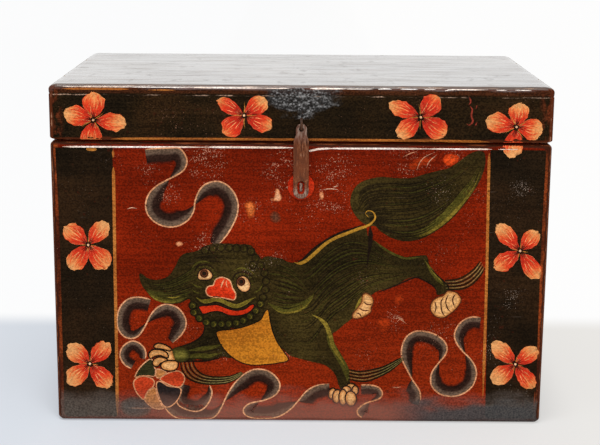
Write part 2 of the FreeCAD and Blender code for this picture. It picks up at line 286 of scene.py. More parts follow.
# %% [markdown]
# ## Streaks left by the brush
#
# A century of use went over the whole front at once, so its marks are groups that every finish shares. The
# brush left streaks along the boards, a fine tooth and broad clouds of tone: three noises on the place,
# which run on from the ground into a ribbon.

# %% Brush streaks
def effect(name, inputs, outputs):
    group = bpy.data.node_groups.new(name, "ShaderNodeTree")
    for label, value in inputs.items():
        group.interface.new_socket(label, in_out="INPUT", socket_type="NodeSocketFloat").default_value = value
    for label in outputs:
        group.interface.new_socket(label, in_out="OUTPUT", socket_type="NodeSocketFloat")
    return group, group.nodes.new("NodeGroupInput").outputs, group.nodes.new("NodeGroupOutput").inputs


brush_streaks, given, result = effect("brush_streaks", {"Along Y": 0.0}, ("Streak", "Fine", "Cloud"))
tree = brush_streaks
x, y, z = place_xyz(tree)
turned = add_node(tree, "ShaderNodeCombineXYZ", {0: y, 1: x, 2: z}).outputs[0]
turning = {0: given["Along Y"], 4: object_place(tree), 5: turned}
place = add_node(tree, "ShaderNodeMix", turning, data_type="VECTOR").outputs[1]
tree.links.new(speckle(tree, place, 1.0, (14, 330, 330), 4.0), result["Streak"])
tree.links.new(speckle(tree, place, 560.0, (0.8, 1, 1), 3.0, 0.3), result["Fine"])
tree.links.new(speckle(tree, place, 11.0, (1, 1, 1.4), 4.0, 0.7), result["Cloud"])
print(brush_streaks.name, "has", len(tree.nodes), "nodes")

# %% [markdown]
# ## Flecks, chips and scratches
#
# Most flecks lie in clusters where the hasp knocks and hands reach. One noise would spread them too evenly,
# so the clusters are listed with place and size in pixels, and noise only breaks them up.

# %% Flecks
fleck_clusters = {(206, 160): 24, (148, 174): 12, (170, 193): 13, (205, 240): 20, (283, 168): 20, (278, 194): 8,
                  (322, 196): 9, (335, 170): 24, (250, 210): 16, (415, 157): 24, (452, 162): 14,
                  (330, 200): 22, (310, 218): 16, (440, 190): 18, (365, 282): 14, (250, 268): 12, (272, 258): 14,
                  (285, 292): 10, (396, 318): 12, (520, 190): 16, (512, 300): 14, (275, 356): 12, (221, 354): 10,
                  (285, 354): 7}
flecks, given, result = effect("flecks", {"Amount": 1.0}, ("Flecks", "Chips", "Scratches"))
tree = flecks
place = object_place(tree)
crowd = None
for (across, down), size in fleck_clusters.items():
    x, z = on_front(across, down)
    away = add_node(tree, "ShaderNodeVectorMath", {0: place, 1: (x, front_y, z)},
                    operation="DISTANCE").outputs["Value"]
    near = soft_step(tree, away, 1.7 * size * pixel, 0.0)
    crowd = near if crowd is None else larger(tree, crowd, near)
patchy = soft_step(tree, speckle(tree, place, 16.0, shift=1.9), 0.5, 0.75)
thinned = soft_step(tree, speckle(tree, place, 55.0, (0.6, 1, 1.5), 4.0, 8.1), 0.36, 0.64, 0.35, 1.0)
crowd = times(tree, larger(tree, crowd, times(tree, patchy, 0.6)), given["Amount"])
crowded = times(tree, times(tree, crowd, thinned), 0.21)
grit = plus(tree, speckle(tree, place, 640.0, detail=4.0, shift=0.9), crowded)
tree.links.new(soft_step(tree, grit, 0.71, 0.78), result["Flecks"])
lost = plus(tree, speckle(tree, place, 150.0, detail=5.0, shift=2.3), times(tree, patchy, 0.08))
tree.links.new(times(tree, soft_step(tree, lost, 0.69, 0.74), given["Amount"]), result["Chips"])
lines = speckle(tree, place, 1.0, (18, 900, 900), 2.0, 3.1)
tree.links.new(times(tree, soft_step(tree, lines, 0.74, 0.82), given["Amount"]), result["Scratches"])
print(flecks.name, "gather in", len(fleck_clusters), "clusters")

# %% [markdown]
# ## Dirt near the floor
#
# Damp left a pinkish haze low on the red, grey at the two ends and a dark smear at the right. Height and x
# say where, and a cloudy noise bends the limit, which would otherwise look like a tide mark.

# %% Floor dirt
floor_dirt, given, result = effect("floor_dirt", {}, ("Grey", "Haze", "Ends"))
tree = floor_dirt
place = place_xyz(tree)
cloudy = speckle(tree, object_place(tree), 26.0, (1, 1, 2.4), 6.0)
high = plus(tree, place[2], times(tree, minus(tree, cloudy, 0.5), 0.05))
smear = times(tree, soft_step(tree, high, 0.034, 0.016), soft_step(tree, place[0], 0.10, 0.17))
tree.links.new(smear, result["Grey"])
ends = larger(tree, soft_step(tree, place[0], -0.15, -0.23), soft_step(tree, place[0], 0.1, 0.2))
low_down = soft_step(tree, high, 0.046, 0.016)
tree.links.new(times(tree, low_down, ends), result["Ends"])
tree.links.new(times(tree, low_down, minus(tree, 0.6, times(tree, ends, 0.5))), result["Haze"])
print(floor_dirt.name, "has", len(tree.nodes), "nodes")

# %% [markdown]
# ## Worn edges
#
# Hands rub an edge first. The boards store each point's distance from its nearest edge, and this group
# turns it into thin paint, bare wood and a polished upper rim. Blender's pointiness finds edges too, but it
# changes with the mesh.

# %% Edge wear
def stored(tree, name):
    return add_node(tree, "ShaderNodeAttribute", attribute_name=name).outputs["Fac"]


edge_wear, given, result = effect("edge_wear", {"Reach": 3.0}, ("Worn", "Bare", "Shine"))
tree = edge_wear
edge = stored(tree, "edge_mm")
ragged = speckle(tree, object_place(tree), 80.0, (0.4, 0.6, 1), 7.0)
ragged = times(tree, minus(tree, ragged, 0.5), 2.4)
depth = plus(tree, calc(tree, "DIVIDE", edge, given["Reach"]), ragged)
height = place_xyz(tree)[2]
less_at_foot = soft_step(tree, height, 1.5 * MM, 9 * MM, 0.15, 1.0)
tree.links.new(times(tree, soft_step(tree, depth, 1.15, 0.55), less_at_foot), result["Worn"])
tree.links.new(soft_step(tree, depth, 0.15, -0.1), result["Bare"])
broken = soft_step(tree, speckle(tree, object_place(tree), 13.0, (1, 1, 4), 7.0, 7.0), 0.4, 0.6, 0.0, 0.22)
rim_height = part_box("lid_top_front_plank")[1].z - 3.5 * MM
off_rim = calc(tree, "ABSOLUTE", minus(tree, height, rim_height))
near_rim = soft_step(tree, off_rim, 6.0 * MM, 4.5 * MM)
polished = times(tree, soft_step(tree, edge, 7.0, 5.0), broken)
tree.links.new(times(tree, polished, near_rim), result["Shine"])
print("shared groups:", [g.name for g in bpy.data.node_groups])

# %% [markdown]
# ## Using a group and running through tones
#
# Hand-mixed paint is never one flat colour: it runs from dark to light as it is thinned. A colour ramp does
# the same, with a value from 0 to 1 that picks the tone.

# %% Groups and tones in a material
def use_effect(tree, group, **inputs):
    made = add_node(tree, "ShaderNodeGroup", node_tree=group)
    for name, value in inputs.items():
        made.inputs[name].default_value = value
    return made.outputs


def tone_ramp(tree, value, tones):
    ramp = add_node(tree, "ShaderNodeValToRGB", {0: value})
    stops = ramp.color_ramp.elements
    while len(stops) < len(tones):
        stops.new(0.5)
    for stop, (position, colour) in zip(stops, tones):
        stop.position, stop.color = position, pigment(*colour)
    return ramp.outputs[0]


def evenly(*colours):
    return [(number / (len(colours) - 1), colour) for number, colour in enumerate(colours)]


def cloud_drift(tree):
    return soft_step(tree, use_effect(tree, brush_streaks)["Cloud"], 0.3, 0.7)


print("two even tones:", evenly((40, 30, 10), (80, 60, 20)))

# %% [markdown]
# ## Growing old
#
# Figures and ground aged together, so one function adds streaks, lost paint and dirt to any colour. If each
# material did it alone, a scratch would stop at the edge of a figure.

# %% Ageing
chip_brown, dust_pink = (60, 22, 10), (138, 98, 84)
foot_greys = [(0.3, (64, 59, 54)), (0.7, (112, 103, 94))]
smear_greys = [(0.25, (42, 43, 46)), (0.75, (86, 83, 81))]


def aged(tree, colour, streak_depth, fleck_amount, fleck_colour, along_y=0.0, haze=1.0):
    streaks = use_effect(tree, brush_streaks, **{"Along Y": along_y})
    shade = plus(tree, times(tree, streaks["Streak"], 0.3), times(tree, streaks["Fine"], 0.7))
    shade = soft_step(tree, shade, 0.4, 0.6, 1.0 - streak_depth, 1.0 + streak_depth)
    grey = add_node(tree, "ShaderNodeCombineColor", {0: shade, 1: shade, 2: shade}).outputs[0]
    colour = mix_colour(tree, 1.0, colour, grey, "MULTIPLY")
    spots = use_effect(tree, flecks, Amount=fleck_amount)
    losses = (("Chips", 0.6, chip_brown), ("Scratches", 0.35, fleck_colour), ("Flecks", 0.75, fleck_colour))
    for kind, share, tone in losses:
        colour = mix_colour(tree, times(tree, spots[kind], share), colour, pigment(*tone))
    dirt = use_effect(tree, floor_dirt)
    colour = mix_colour(tree, times(tree, dirt["Haze"], haze), colour, pigment(*dust_pink))
    for kind, share, greys in (("Ends", 0.65, foot_greys), ("Grey", 0.88, smear_greys)):
        colour = mix_colour(tree, times(tree, dirt[kind], share), colour, tone_ramp(tree, streaks["Fine"], greys))
    return colour, streaks


print("ageing uses:", [group.name for group in (brush_streaks, flecks, floor_dirt)])

# %% [markdown]
# ## Lacquer for the boards
#
# The boards carry brushed lacquer whose worn edges show the brown underneath. Old lacquer is nearly matt,
# so the gloss is low. All finishes end alike, with a gloss and a surface height, so that has a function of
# its own.

# %% Lacquer
lacquer_fleck = (196, 140, 112)


def close_finish(tree, colour, roughness, specular, height, depth, coat=None):
    bump = add_node(tree, "ShaderNodeBump", {"Height": height, "Distance": depth, "Strength": 0.5})
    inputs = {"Base Color": colour, "Roughness": roughness, "Specular IOR Level": specular,
              "Normal": bump.outputs[0]}
    if coat is not None:
        inputs.update({"Coat Weight": coat, "Coat Roughness": 0.1, "Coat IOR": 2.0})
    shader = add_node(tree, "ShaderNodeBsdfPrincipled", inputs)
    add_node(tree, "ShaderNodeOutputMaterial", {0: shader.outputs[0]})


def lacquer(name, tones, worn, bare, reach_mm, streak_depth=0.35, fleck_amount=1.0, specular=0.02, extra=None,
            along_y=0.0):
    material, tree = new_material(name)
    colour = tone_ramp(tree, cloud_drift(tree), tones)
    if extra:
        colour = extra(tree, colour)
    colour, streaks = aged(tree, colour, streak_depth, fleck_amount, lacquer_fleck, along_y)
    edges = use_effect(tree, edge_wear, Reach=reach_mm)
    colour = mix_colour(tree, edges["Worn"], colour, pigment(*worn))
    colour = mix_colour(tree, times(tree, edges["Bare"], 0.8), colour, pigment(*bare))
    roughness = soft_step(tree, streaks["Streak"], 0.3, 0.7, 0.38, 0.55)
    height = plus(tree, streaks["Streak"], times(tree, streaks["Fine"], 0.4))
    close_finish(tree, colour, roughness, specular, height, 0.25 * MM, edges["Shine"])
    return material


print("lacquer recipe ready, flecks of", lacquer_fleck)

# %% [markdown]
# ## Paint for the figures
#
# The figures are thinner paint without worn edges. Its tones drift like clouds, or run along a value that
# the mesh stores, such as the distance from the rim, which gives a shape a border of its own.

# %% Paint
def paint_roughness(tree, streaks):
    return soft_step(tree, streaks["Fine"], 0.3, 0.7, 0.42, 0.6)


def paint(name, tones, mark=None, reach=1.0, streak_depth=0.3, fleck_amount=0.7, specular=0.02,
          fleck_colour=(150, 80, 55), haze=1.0):
    material, tree = new_material(name)
    if mark:
        value = stored(tree, mark)
        wobble = minus(tree, speckle(tree, object_place(tree), 120.0, detail=4.0), 0.5)
        value = plus(tree, calc(tree, "DIVIDE", value, reach), times(tree, wobble, 0.35))
    else:
        value = cloud_drift(tree)
    colour = tone_ramp(tree, value, tones)
    colour, streaks = aged(tree, colour, streak_depth, fleck_amount, fleck_colour, haze=haze)
    close_finish(tree, colour, paint_roughness(tree, streaks), specular, streaks["Streak"], 0.2 * MM)
    return material


print("paint recipe ready, aged by", aged.__name__)

# %% [markdown]
# ## The red ground
#
# The front carries painted shade under the lid and painted light low down, where the lamp reaches it less, and is
# rubbed to brown at the corners where it was handled. These belong to this board alone, so they are masks on the
# place, handed to the recipe as an extra.

# %% Red ground
# Painted shade and light by height: darker red near the top, under the lid, and brighter red low down.
def shade_and_light_by_height(tree, colour):
    height = place_xyz(tree)[2]
    colour = mix_colour(tree, soft_step(tree, height, 0.25, 0.345, 0.0, 0.34), colour, pigment(86, 20, 5))
    return mix_colour(tree, soft_step(tree, height, 0.21, 0.05, 0.0, 0.34), colour, pigment(152, 50, 15))


def shading_and_handled_corners(tree, colour):
    place = object_place(tree)
    colour = shade_and_light_by_height(tree, colour)
    aside = calc(tree, "ABSOLUTE", place_xyz(tree)[0])
    blotches = soft_step(tree, speckle(tree, place, 42.0, (1, 1, 0.35), 5.0, 6.6), 0.38, 0.62)
    rubbed_tone = tone_ramp(tree, blotches, evenly((34, 22, 14), (88, 42, 19), (140, 64, 27)))
    at_corner = soft_step(tree, aside, half_width - 12 * MM, half_width - 8 * MM, 0.0, 0.85)
    return mix_colour(tree, at_corner, colour, rubbed_tone)


red_tones = evenly((103, 23, 3), (113, 26, 4), (131, 32, 6))
red_ground = lacquer("red_ground", red_tones, (58, 27, 15), (138, 72, 38), 5.0, 0.36, extra=shading_and_handled_corners)
print("ground of the front:", red_ground.name)

# %% [markdown]
# ## Cracks over the dovetails
#
# On the plain sides the lacquer cracked along the dovetails underneath. The cracks are finer than the
# mesh's grid, so they are drawn in the material: the joint repeats at an even pitch, and the place tells
# how far the nearest crack is.

# %% Joint cracks
crack_black, crack_soft, crack_core = pigment(26, 13, 9), 1.2 * MM, 0.4 * MM
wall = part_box("front_board")[1].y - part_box("front_board")[0].y


def joint_cracks(low, high, tails, flare=3.0 * MM):
    def draw(tree, colour):
        x, y, z = place_xyz(tree)
        pitch = (high - low) / tails
        inset = minus(tree, half_depth, calc(tree, "ABSOLUTE", y))
        in_tail = calc(tree, "FRACT", calc(tree, "DIVIDE", minus(tree, z, low), pitch))
        off_middle = times(tree, calc(tree, "ABSOLUTE", minus(tree, in_tail, 0.5)), pitch)
        reach = plus(tree, times(tree, minus(tree, wall, inset), flare / wall), pitch / 4)
        off_slope = calc(tree, "ABSOLUTE", minus(tree, off_middle, reach))
        sloped = soft_step(tree, off_slope, crack_soft, crack_core)
        sloped = times(tree, sloped, calc(tree, "LESS_THAN", inset, wall))
        off_end = calc(tree, "ABSOLUTE", minus(tree, inset, wall))
        straight = soft_step(tree, off_end, crack_soft, crack_core)
        straight = times(tree, straight, calc(tree, "LESS_THAN", off_middle, pitch / 4))
        patches = speckle(tree, object_place(tree), 30.0, detail=4.0, shift=5.5)
        open_joint = soft_step(tree, patches, 0.34, 0.5, 0.15, 0.9)
        return mix_colour(tree, times(tree, larger(tree, sloped, straight), open_joint), colour, crack_black)
    return draw


seam_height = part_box("lid_front_rail")[1].z
body_joints = joint_cracks(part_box("left_board")[0].z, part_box("left_board")[1].z, 5)
lid_joints = joint_cracks(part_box("lid_left_rail")[0].z, seam_height, 2)
print("walls of", round(wall / MM, 1), "mm, lid seam at", round(seam_height, 4))

# %% [markdown]
# ## Marks on the lid
#
# Along the seam under the top plank the varnish chipped to a row of pale marks, and the plank's edge and
# the outer corners are rubbed to brown. These are masks on the height and on the distance from the end.

# %% Lid marks
def lid_marks(tree, colour):
    place = object_place(tree)
    x, y, z = place_xyz(tree)
    off_seam = calc(tree, "ABSOLUTE", minus(tree, z, seam_height - 0.6 * MM))
    at_seam = soft_step(tree, off_seam, 0.9 * MM, 0.3 * MM)
    picked = soft_step(tree, speckle(tree, place, 1.0, (45, 200, 200), 6.0, 2.0), 0.5, 0.6, 0.0, 0.75)
    colour = mix_colour(tree, times(tree, at_seam, picked), colour, pigment(170, 138, 116))
    on_plank = soft_step(tree, z, seam_height, seam_height + 3 * MM, 0.0, 0.55)
    colour = mix_colour(tree, on_plank, colour, pigment(78, 38, 20))
    aside = calc(tree, "ABSOLUTE", x)
    near_end = soft_step(tree, aside, half_width - 20 * MM, half_width - 7 * MM)
    handled = times(tree, near_end, calc(tree, "LESS_THAN", aside, half_width - 0.6 * MM))
    blotches = soft_step(tree, speckle(tree, place, 95.0, (1, 1, 0.6), 6.0, 9.0), 0.47, 0.6, 0.0, 0.8)
    return mix_colour(tree, times(tree, handled, blotches), colour, pigment(104, 46, 23))


def lid_side(tree, colour):
    return lid_joints(tree, lid_marks(tree, colour))


# %% [markdown]
# ## Painted grey sheen above the hasp
#
# Above the hasp the dark lacquer carries a painted sheen: a grey dotted patch, wider upwards and strongest in the
# middle. Its limits come from the photograph, and two noises fray it and break it into dots.

# %% Painted hasp sheen
def lid_marks_and_painted_sheen(tree, colour):
    colour = lid_marks(tree, colour)
    place = object_place(tree)
    x, y, z = place_xyz(tree)
    middle = on_front(301, 110)[0]
    narrow, broad, foot = (on_front(300, down)[1] for down in (113, 104, 120))
    half = soft_step(tree, z, narrow, broad, 15 * pixel, 42 * pixel)
    frayed = times(tree, minus(tree, speckle(tree, place, 60.0, detail=5.0), 0.5), 40 * pixel)
    aside = plus(tree, calc(tree, "ABSOLUTE", minus(tree, x, middle)), frayed)
    near = soft_step(tree, minus(tree, aside, half), 0.0, -14 * pixel)
    near = times(tree, near, soft_step(tree, z, foot, foot + 4 * MM))
    near = times(tree, near, calc(tree, "LESS_THAN", y, 0.0))
    dots = soft_step(tree, speckle(tree, place, 430.0, (0.8, 1, 1), 6.0, 5.0), 0.42, 0.74)
    dots = times(tree, dots, soft_step(tree, aside, 34 * pixel, 6 * pixel, 0.5, 1.15))
    # Painted sheen: the lacquer is greyed, then dotted with pale grey.
    colour = mix_colour(tree, times(tree, near, 0.7), colour, pigment(40, 40, 40))
    return mix_colour(tree, times(tree, near, times(tree, dots, 0.75)), colour, pigment(146, 144, 142))


print("bloom centred at x =", round(on_front(301, 110)[0], 4))

# %% [markdown]
# ## Colours of the sides, the lid and the bands
#
# Sides and back are a duller red than the front, and the lid and the bands are nearly black. Each is the
# same recipe with its own tones, so a lid in another colour would be one line.

# %% Side, lid and band colours
dark_tones = evenly((24, 17, 8), (34, 23, 10), (46, 29, 13))
side_tones = evenly((58, 21, 12), (80, 26, 13), (98, 32, 14))
side_ground = lacquer("side_ground", side_tones, (94, 46, 23), (150, 100, 70), 6.0, 0.45, extra=body_joints,
                      along_y=1.0)
back_ground = lacquer("back_ground", side_tones, (94, 46, 23), (150, 100, 70), 6.0, 0.45)
dark_lacquer = lacquer("dark_lacquer", dark_tones, (84, 38, 19), (168, 120, 92), 4.5, 0.5, 0.7, extra=lid_marks_and_painted_sheen)
dark_side = lacquer("dark_side", dark_tones, (92, 42, 20), (168, 120, 92), 6.0, 0.5, 0.7, extra=lid_side,
                    along_y=1.0)
dark_band = paint("dark_band", [(0.0, (23, 16, 8)), (0.6, (33, 22, 11)), (1.0, (44, 28, 14))], streak_depth=0.38,
                  fleck_amount=1.0, fleck_colour=(150, 130, 115))
gold_line = paint("gold_line", evenly((138, 78, 34), (170, 98, 40), (182, 112, 50)), streak_depth=0.3,
                  fleck_amount=1.2, fleck_colour=(96, 44, 20))
print("lacquers of the sides and the lid:", side_ground.name, back_ground.name, dark_lacquer.name, dark_side.name)

# %% [markdown]
# ## The worn lid top
#
# The camera looks along the lid at only seven degrees, so the dark varnish mirrors the white room. That is
# gloss and not paint: the base is a dusty brown, and where streaks, cracks and scuffs have taken the gloss
# away, it stays dark.

# %% Lid top finish
lid_top_gloss, tree = new_material("lid_top_gloss")
streaks = use_effect(tree, brush_streaks)
place = object_place(tree)
long_grain = speckle(tree, place, 1.0, (13, 170, 170), 7.0, 4.0)
dust = soft_step(tree, speckle(tree, place, 9.0, (0.6, 1, 1), 5.0, 6.0), 0.3, 0.7)
colour = tone_ramp(tree, soft_step(tree, long_grain, 0.3, 0.7), evenly((34, 23, 15), (56, 38, 26), (84, 62, 46)))
colour = mix_colour(tree, plus(tree, times(tree, dust, 0.4), 0.12), colour, pigment(136, 124, 110))
edges = use_effect(tree, edge_wear, Reach=4.0)
colour = mix_colour(tree, times(tree, edges["Worn"], 0.7), colour, pigment(76, 44, 28))
colour = mix_colour(tree, times(tree, edges["Bare"], 0.7), colour, pigment(176, 140, 112))
cracks = soft_step(tree, speckle(tree, place, 1.0, (10, 420, 420), 4.0, 8.0), 0.6, 0.7)
colour = mix_colour(tree, times(tree, cracks, 0.7), colour, pigment(28, 18, 12))
rougher = times(tree, plus(tree, cracks, edges["Worn"]), 0.25)
roughness = plus(tree, soft_step(tree, long_grain, 0.35, 0.72, 0.16, 0.3), rougher)
scuffs = soft_step(tree, speckle(tree, place, 1.0, (60, 34, 34), 6.0, 11.0), 0.58, 0.72)
dull = larger(tree, times(tree, soft_step(tree, long_grain, 0.48, 0.7), 0.5), times(tree, scuffs, 0.8))
gone = larger(tree, larger(tree, cracks, edges["Worn"]), dull)
gloss = minus(tree, 0.75, times(tree, gone, 0.6))
close_finish(tree, colour, roughness, 0.5, minus(tree, streaks["Streak"], cracks), 0.12 * MM, gloss)
print("lid top:", lid_top_gloss.name)

# %% [markdown]
# ## Bare wood
#
# Inside, the boards were never painted. Pale softwood has long growth lines along each board, so the noise
# is stretched along x or y by turning the pattern, and the colour drifts to grey where hands and dust
# reached.

# %% Bare wood finish
def bare_wood(name, stretch, dark=(96, 66, 40), pale=(168, 128, 84)):
    material, tree = new_material(name)
    place = object_place(tree)
    growth = speckle(tree, place, 1.0, stretch, 4.0)
    pores = speckle(tree, place, 4.0, stretch, 2.0, 2.0)
    between = tuple((d + p) // 2 for d, p in zip(dark, pale))
    colour = tone_ramp(tree, soft_step(tree, growth, 0.3, 0.7), [(0.0, dark), (0.55, pale), (1.0, between)])
    colour = mix_colour(tree, soft_step(tree, pores, 0.62, 0.75, 0.0, 0.6), colour, pigment(70, 46, 30))
    grey = soft_step(tree, speckle(tree, place, 8.0, detail=4.0), 0.45, 0.8, 0.0, 0.5)
    colour = mix_colour(tree, grey, colour, pigment(110, 98, 84))
    close_finish(tree, colour, soft_step(tree, pores, 0.3, 0.7, 0.6, 0.78), 0.3, growth, 0.3 * MM)
    return material


wood_along_x = bare_wood("wood_along_x", (4, 130, 130))
wood_along_y = bare_wood("wood_along_y", (130, 4, 130))
print("bare wood:", wood_along_x.name, wood_along_y.name)

# %% [markdown]
# ## Boards with worn, rounded edges
#
# A sharp CAD box gives itself away at its corners. Each outside board becomes a grid, and one function
# bends it: it rounds the outer edges of the whole box, waves the faces and nicks the edges. It works on
# places, so neighbours meet without a step, and the figures can lie on the same surface.

# %% Rounding and wear as a function of place
wave_height, nick_depth, nick_reach = 0.25, 1.6, 5 * MM
Shell = namedtuple("Shell", "low high low_radius high_radius corner")
body_shell = Shell(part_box("front_board")[0].z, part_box("front_board")[1].z, 6.0 * MM, 6.5 * MM,
                   np.array((8.0, 8.0)) * MM)
lid_shell = Shell(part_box("lid_front_rail")[0].z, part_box("lid_top_front_plank")[1].z, 3.5 * MM, 6.0 * MM,
                  np.array((12.0, 6.0)) * MM)


def ripple(points, scale, shift):
    return np.array([noise.noise(Vector(p) * scale + Vector((shift, 2 * shift, 3 * shift))) for p in points])


def worn(points, shell):
    half = np.array([half_width, half_depth])
    middle = (shell.low + shell.high) / 2
    core = points.copy()
    core[:, :2] = np.clip(points[:, :2], shell.corner - half, half - shell.corner)
    core[:, 2] = np.clip(points[:, 2], shell.low + shell.low_radius, shell.high - shell.high_radius)
    tall = np.where(points[:, 2] > middle, shell.high_radius, shell.low_radius)
    radius = np.column_stack((np.tile(shell.corner, (len(points), 1)), tall))
    beyond = (points - core) / radius
    size = np.maximum(np.linalg.norm(beyond, axis=1), 1e-9)[:, None]
    placed = core + beyond * radius * (np.abs(beyond).max(axis=1)[:, None] / size)
    outward = beyond / size
    gaps = np.column_stack((half - np.abs(points[:, :2]),
                            np.minimum(points[:, 2] - shell.low, shell.high - points[:, 2])))
    edge = np.sort(gaps, axis=1)[:, 1]
    flat = 1.0 - outward[:, 2] ** 2
    nick = np.clip(ripple(points, 45.0, 3.0) - 0.1, 0, 1) * np.clip(1.0 - edge / nick_reach, 0, 1)
    move = flat * (wave_height * ripple(points, 8.0, 1.0) - nick_depth * nick) * MM
    return placed + outward * move[:, None], outward, edge / MM


print("body shell:", body_shell, "lid shell:", lid_shell)

# %% [markdown]
# ## A grid for each board
#
# Bending needs points to bend. A subdivided cube would waste most of them mid-board, so the grid's lines
# lie close together near the ends, where the rounding is, and wide apart between.

# %% Grid plates
def grid_lines(low, high, step=8 * MM):
    close = np.linspace(0, 12.6, 15) * MM
    if high - low < 4 * step:
        return np.linspace(low, high, 5)
    between = np.linspace(low + close[-1], high - close[-1], max(2, round((high - low) / step)))
    return np.concatenate((low + close[:-1], between, (high - close[:-1])[::-1]))


def plate(lines):
    counts, numbers, points, quads = [len(l) for l in lines], {}, [], []

    def corner(at):
        if at not in numbers:
            numbers[at] = len(points)
            points.append([lines[axis][i] for axis, i in enumerate(at)])
        return numbers[at]

    for a, b, c in ((0, 1, 2), (1, 2, 0), (2, 0, 1)):
        for end in (0, counts[a] - 1):
            for m in range(counts[b] - 1):
                for n in range(counts[c] - 1):
                    ring = [(m, n), (m + 1, n), (m + 1, n + 1), (m, n + 1)]
                    quad = []
                    for p, q in ring if end else ring[::-1]:
                        at = [0, 0, 0]
                        at[a], at[b], at[c] = end, p, q
                        quad.append(corner(tuple(at)))
                    quads.append(quad)
    return np.array(points), quads


print("a board 600 mm long has", len(grid_lines(-0.3, 0.3)), "lines across it")

# %% [markdown]
# ## A mesh with finishes and stored values
#
# Every piece made from points passes through one function. It gives faces their finishes, stores values for
# the materials to read, and shades smoothly except across sharp edges.

# %% New piece
sharp_edge = math.radians(38)


def new_piece(name, points, faces, finishes, face_finish=None, marks=None):
    mesh = bpy.data.meshes.new(name)
    mesh.from_pydata([tuple(p) for p in points], [], faces)
    for finish in finishes:
        mesh.materials.append(finish)
    if face_finish is not None:
        mesh.polygons.foreach_set("material_index", face_finish)
    for label, values in (marks or {}).items():
        mesh.attributes.new(label, "FLOAT", "POINT").data.foreach_set("value", np.asarray(values, np.float32))
    mesh.polygons.foreach_set("use_smooth", [True] * len(mesh.polygons))
    mesh.set_sharp_from_angle(angle=sharp_edge)
    mesh.update()
    piece = bpy.data.objects.new(name, mesh)
    scene.collection.objects.link(piece)
    return piece


print("edges stay sharp beyond", round(math.degrees(sharp_edge)), "degrees")

# %% [markdown]
# ## One board
#
# A real board ends in dovetails that its neighbour hides. This one ends in a mitre, so that two meet in the
# rounded corner without overlap. A fine groove marks the seam under the lid's plank, and inward faces get
# bare wood.

# %% Board
mitre_zone, groove_depth = 0.05, 0.6


def board(node, body, shell, outside, inside, mitre=None, narrow=None):
    low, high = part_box(node)
    box = [[low.x, high.x], [low.y, high.y], [low.z, high.z]]
    if mitre is not None:
        other = 1 - mitre
        half = (half_width, half_depth)[mitre]
        box[mitre] = [-half, half]
    points, quads = plate([grid_lines(*span) for span in box])
    if mitre is not None:
        depth = (half_width, half_depth)[other] - np.abs(points[:, other])
        near = np.clip((np.abs(points[:, mitre]) - (half - mitre_zone)) / mitre_zone, 0, 1)
        points[:, mitre] -= np.sign(points[:, mitre]) * depth * near
    placed, outward, edge = worn(points, shell)
    hidden = np.linalg.norm(outward, axis=1) < 0.01
    groove = np.abs(points[:, 2] - seam_height) < 0.1 * MM
    placed[groove] -= outward[groove] * (groove_depth, groove_depth, 0.0) * MM
    looks = [0] * len(quads)
    for number, quad in enumerate(quads):
        if hidden[quad].any():
            looks[number] = 1
        elif narrow and abs(outward[quad, 2].mean()) < 0.55:
            looks[number] = 2
    piece = new_piece(node + "_worn", placed, quads, [outside, inside, narrow or outside], looks, {"edge_mm": edge})
    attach(piece, body)
    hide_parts(node)


print("mitres turn in over the last", round(mitre_zone / MM), "mm")

# %% [markdown]
# ## The ten outside boards
#
# Four boards make the body, four rails and two planks the lid. Each call names the CAD node that is
# replaced, the body it moves with, its finishes and the way it is mitred: 0 along x, 1 along y.

# %% The ten outside boards
board("front_board", "trunk", body_shell, red_ground, wood_along_x, 0)
board("back_board", "trunk", body_shell, back_ground, wood_along_x, 0)
board("left_board", "trunk", body_shell, side_ground, wood_along_y, 1)
board("right_board", "trunk", body_shell, side_ground, wood_along_y, 1)
board("lid_front_rail", "lid", lid_shell, dark_lacquer, wood_along_x, 0)
board("lid_back_rail", "lid", lid_shell, dark_lacquer, wood_along_x, 0)
board("lid_left_rail", "lid", lid_shell, dark_side, wood_along_y, 1)
board("lid_right_rail", "lid", lid_shell, dark_side, wood_along_y, 1)
board("lid_top_front_plank", "lid", lid_shell, lid_top_gloss, wood_along_x,
      narrow=dark_lacquer)
board("lid_top_back_plank", "lid", lid_shell, lid_top_gloss, wood_along_x, narrow=dark_lacquer)

# %% [markdown]
# ## Layers of paint
#
# The figures could be a picture on the board, but then they would have no thickness or finish of their own.
# Each shape is a real layer a tenth of a millimetre thick or more, drawn flat as (x, height, z). When a
# layer dries it is laid on the worn board and closed underneath.

# %% A layer of paint
sunk = 0.05 * MM


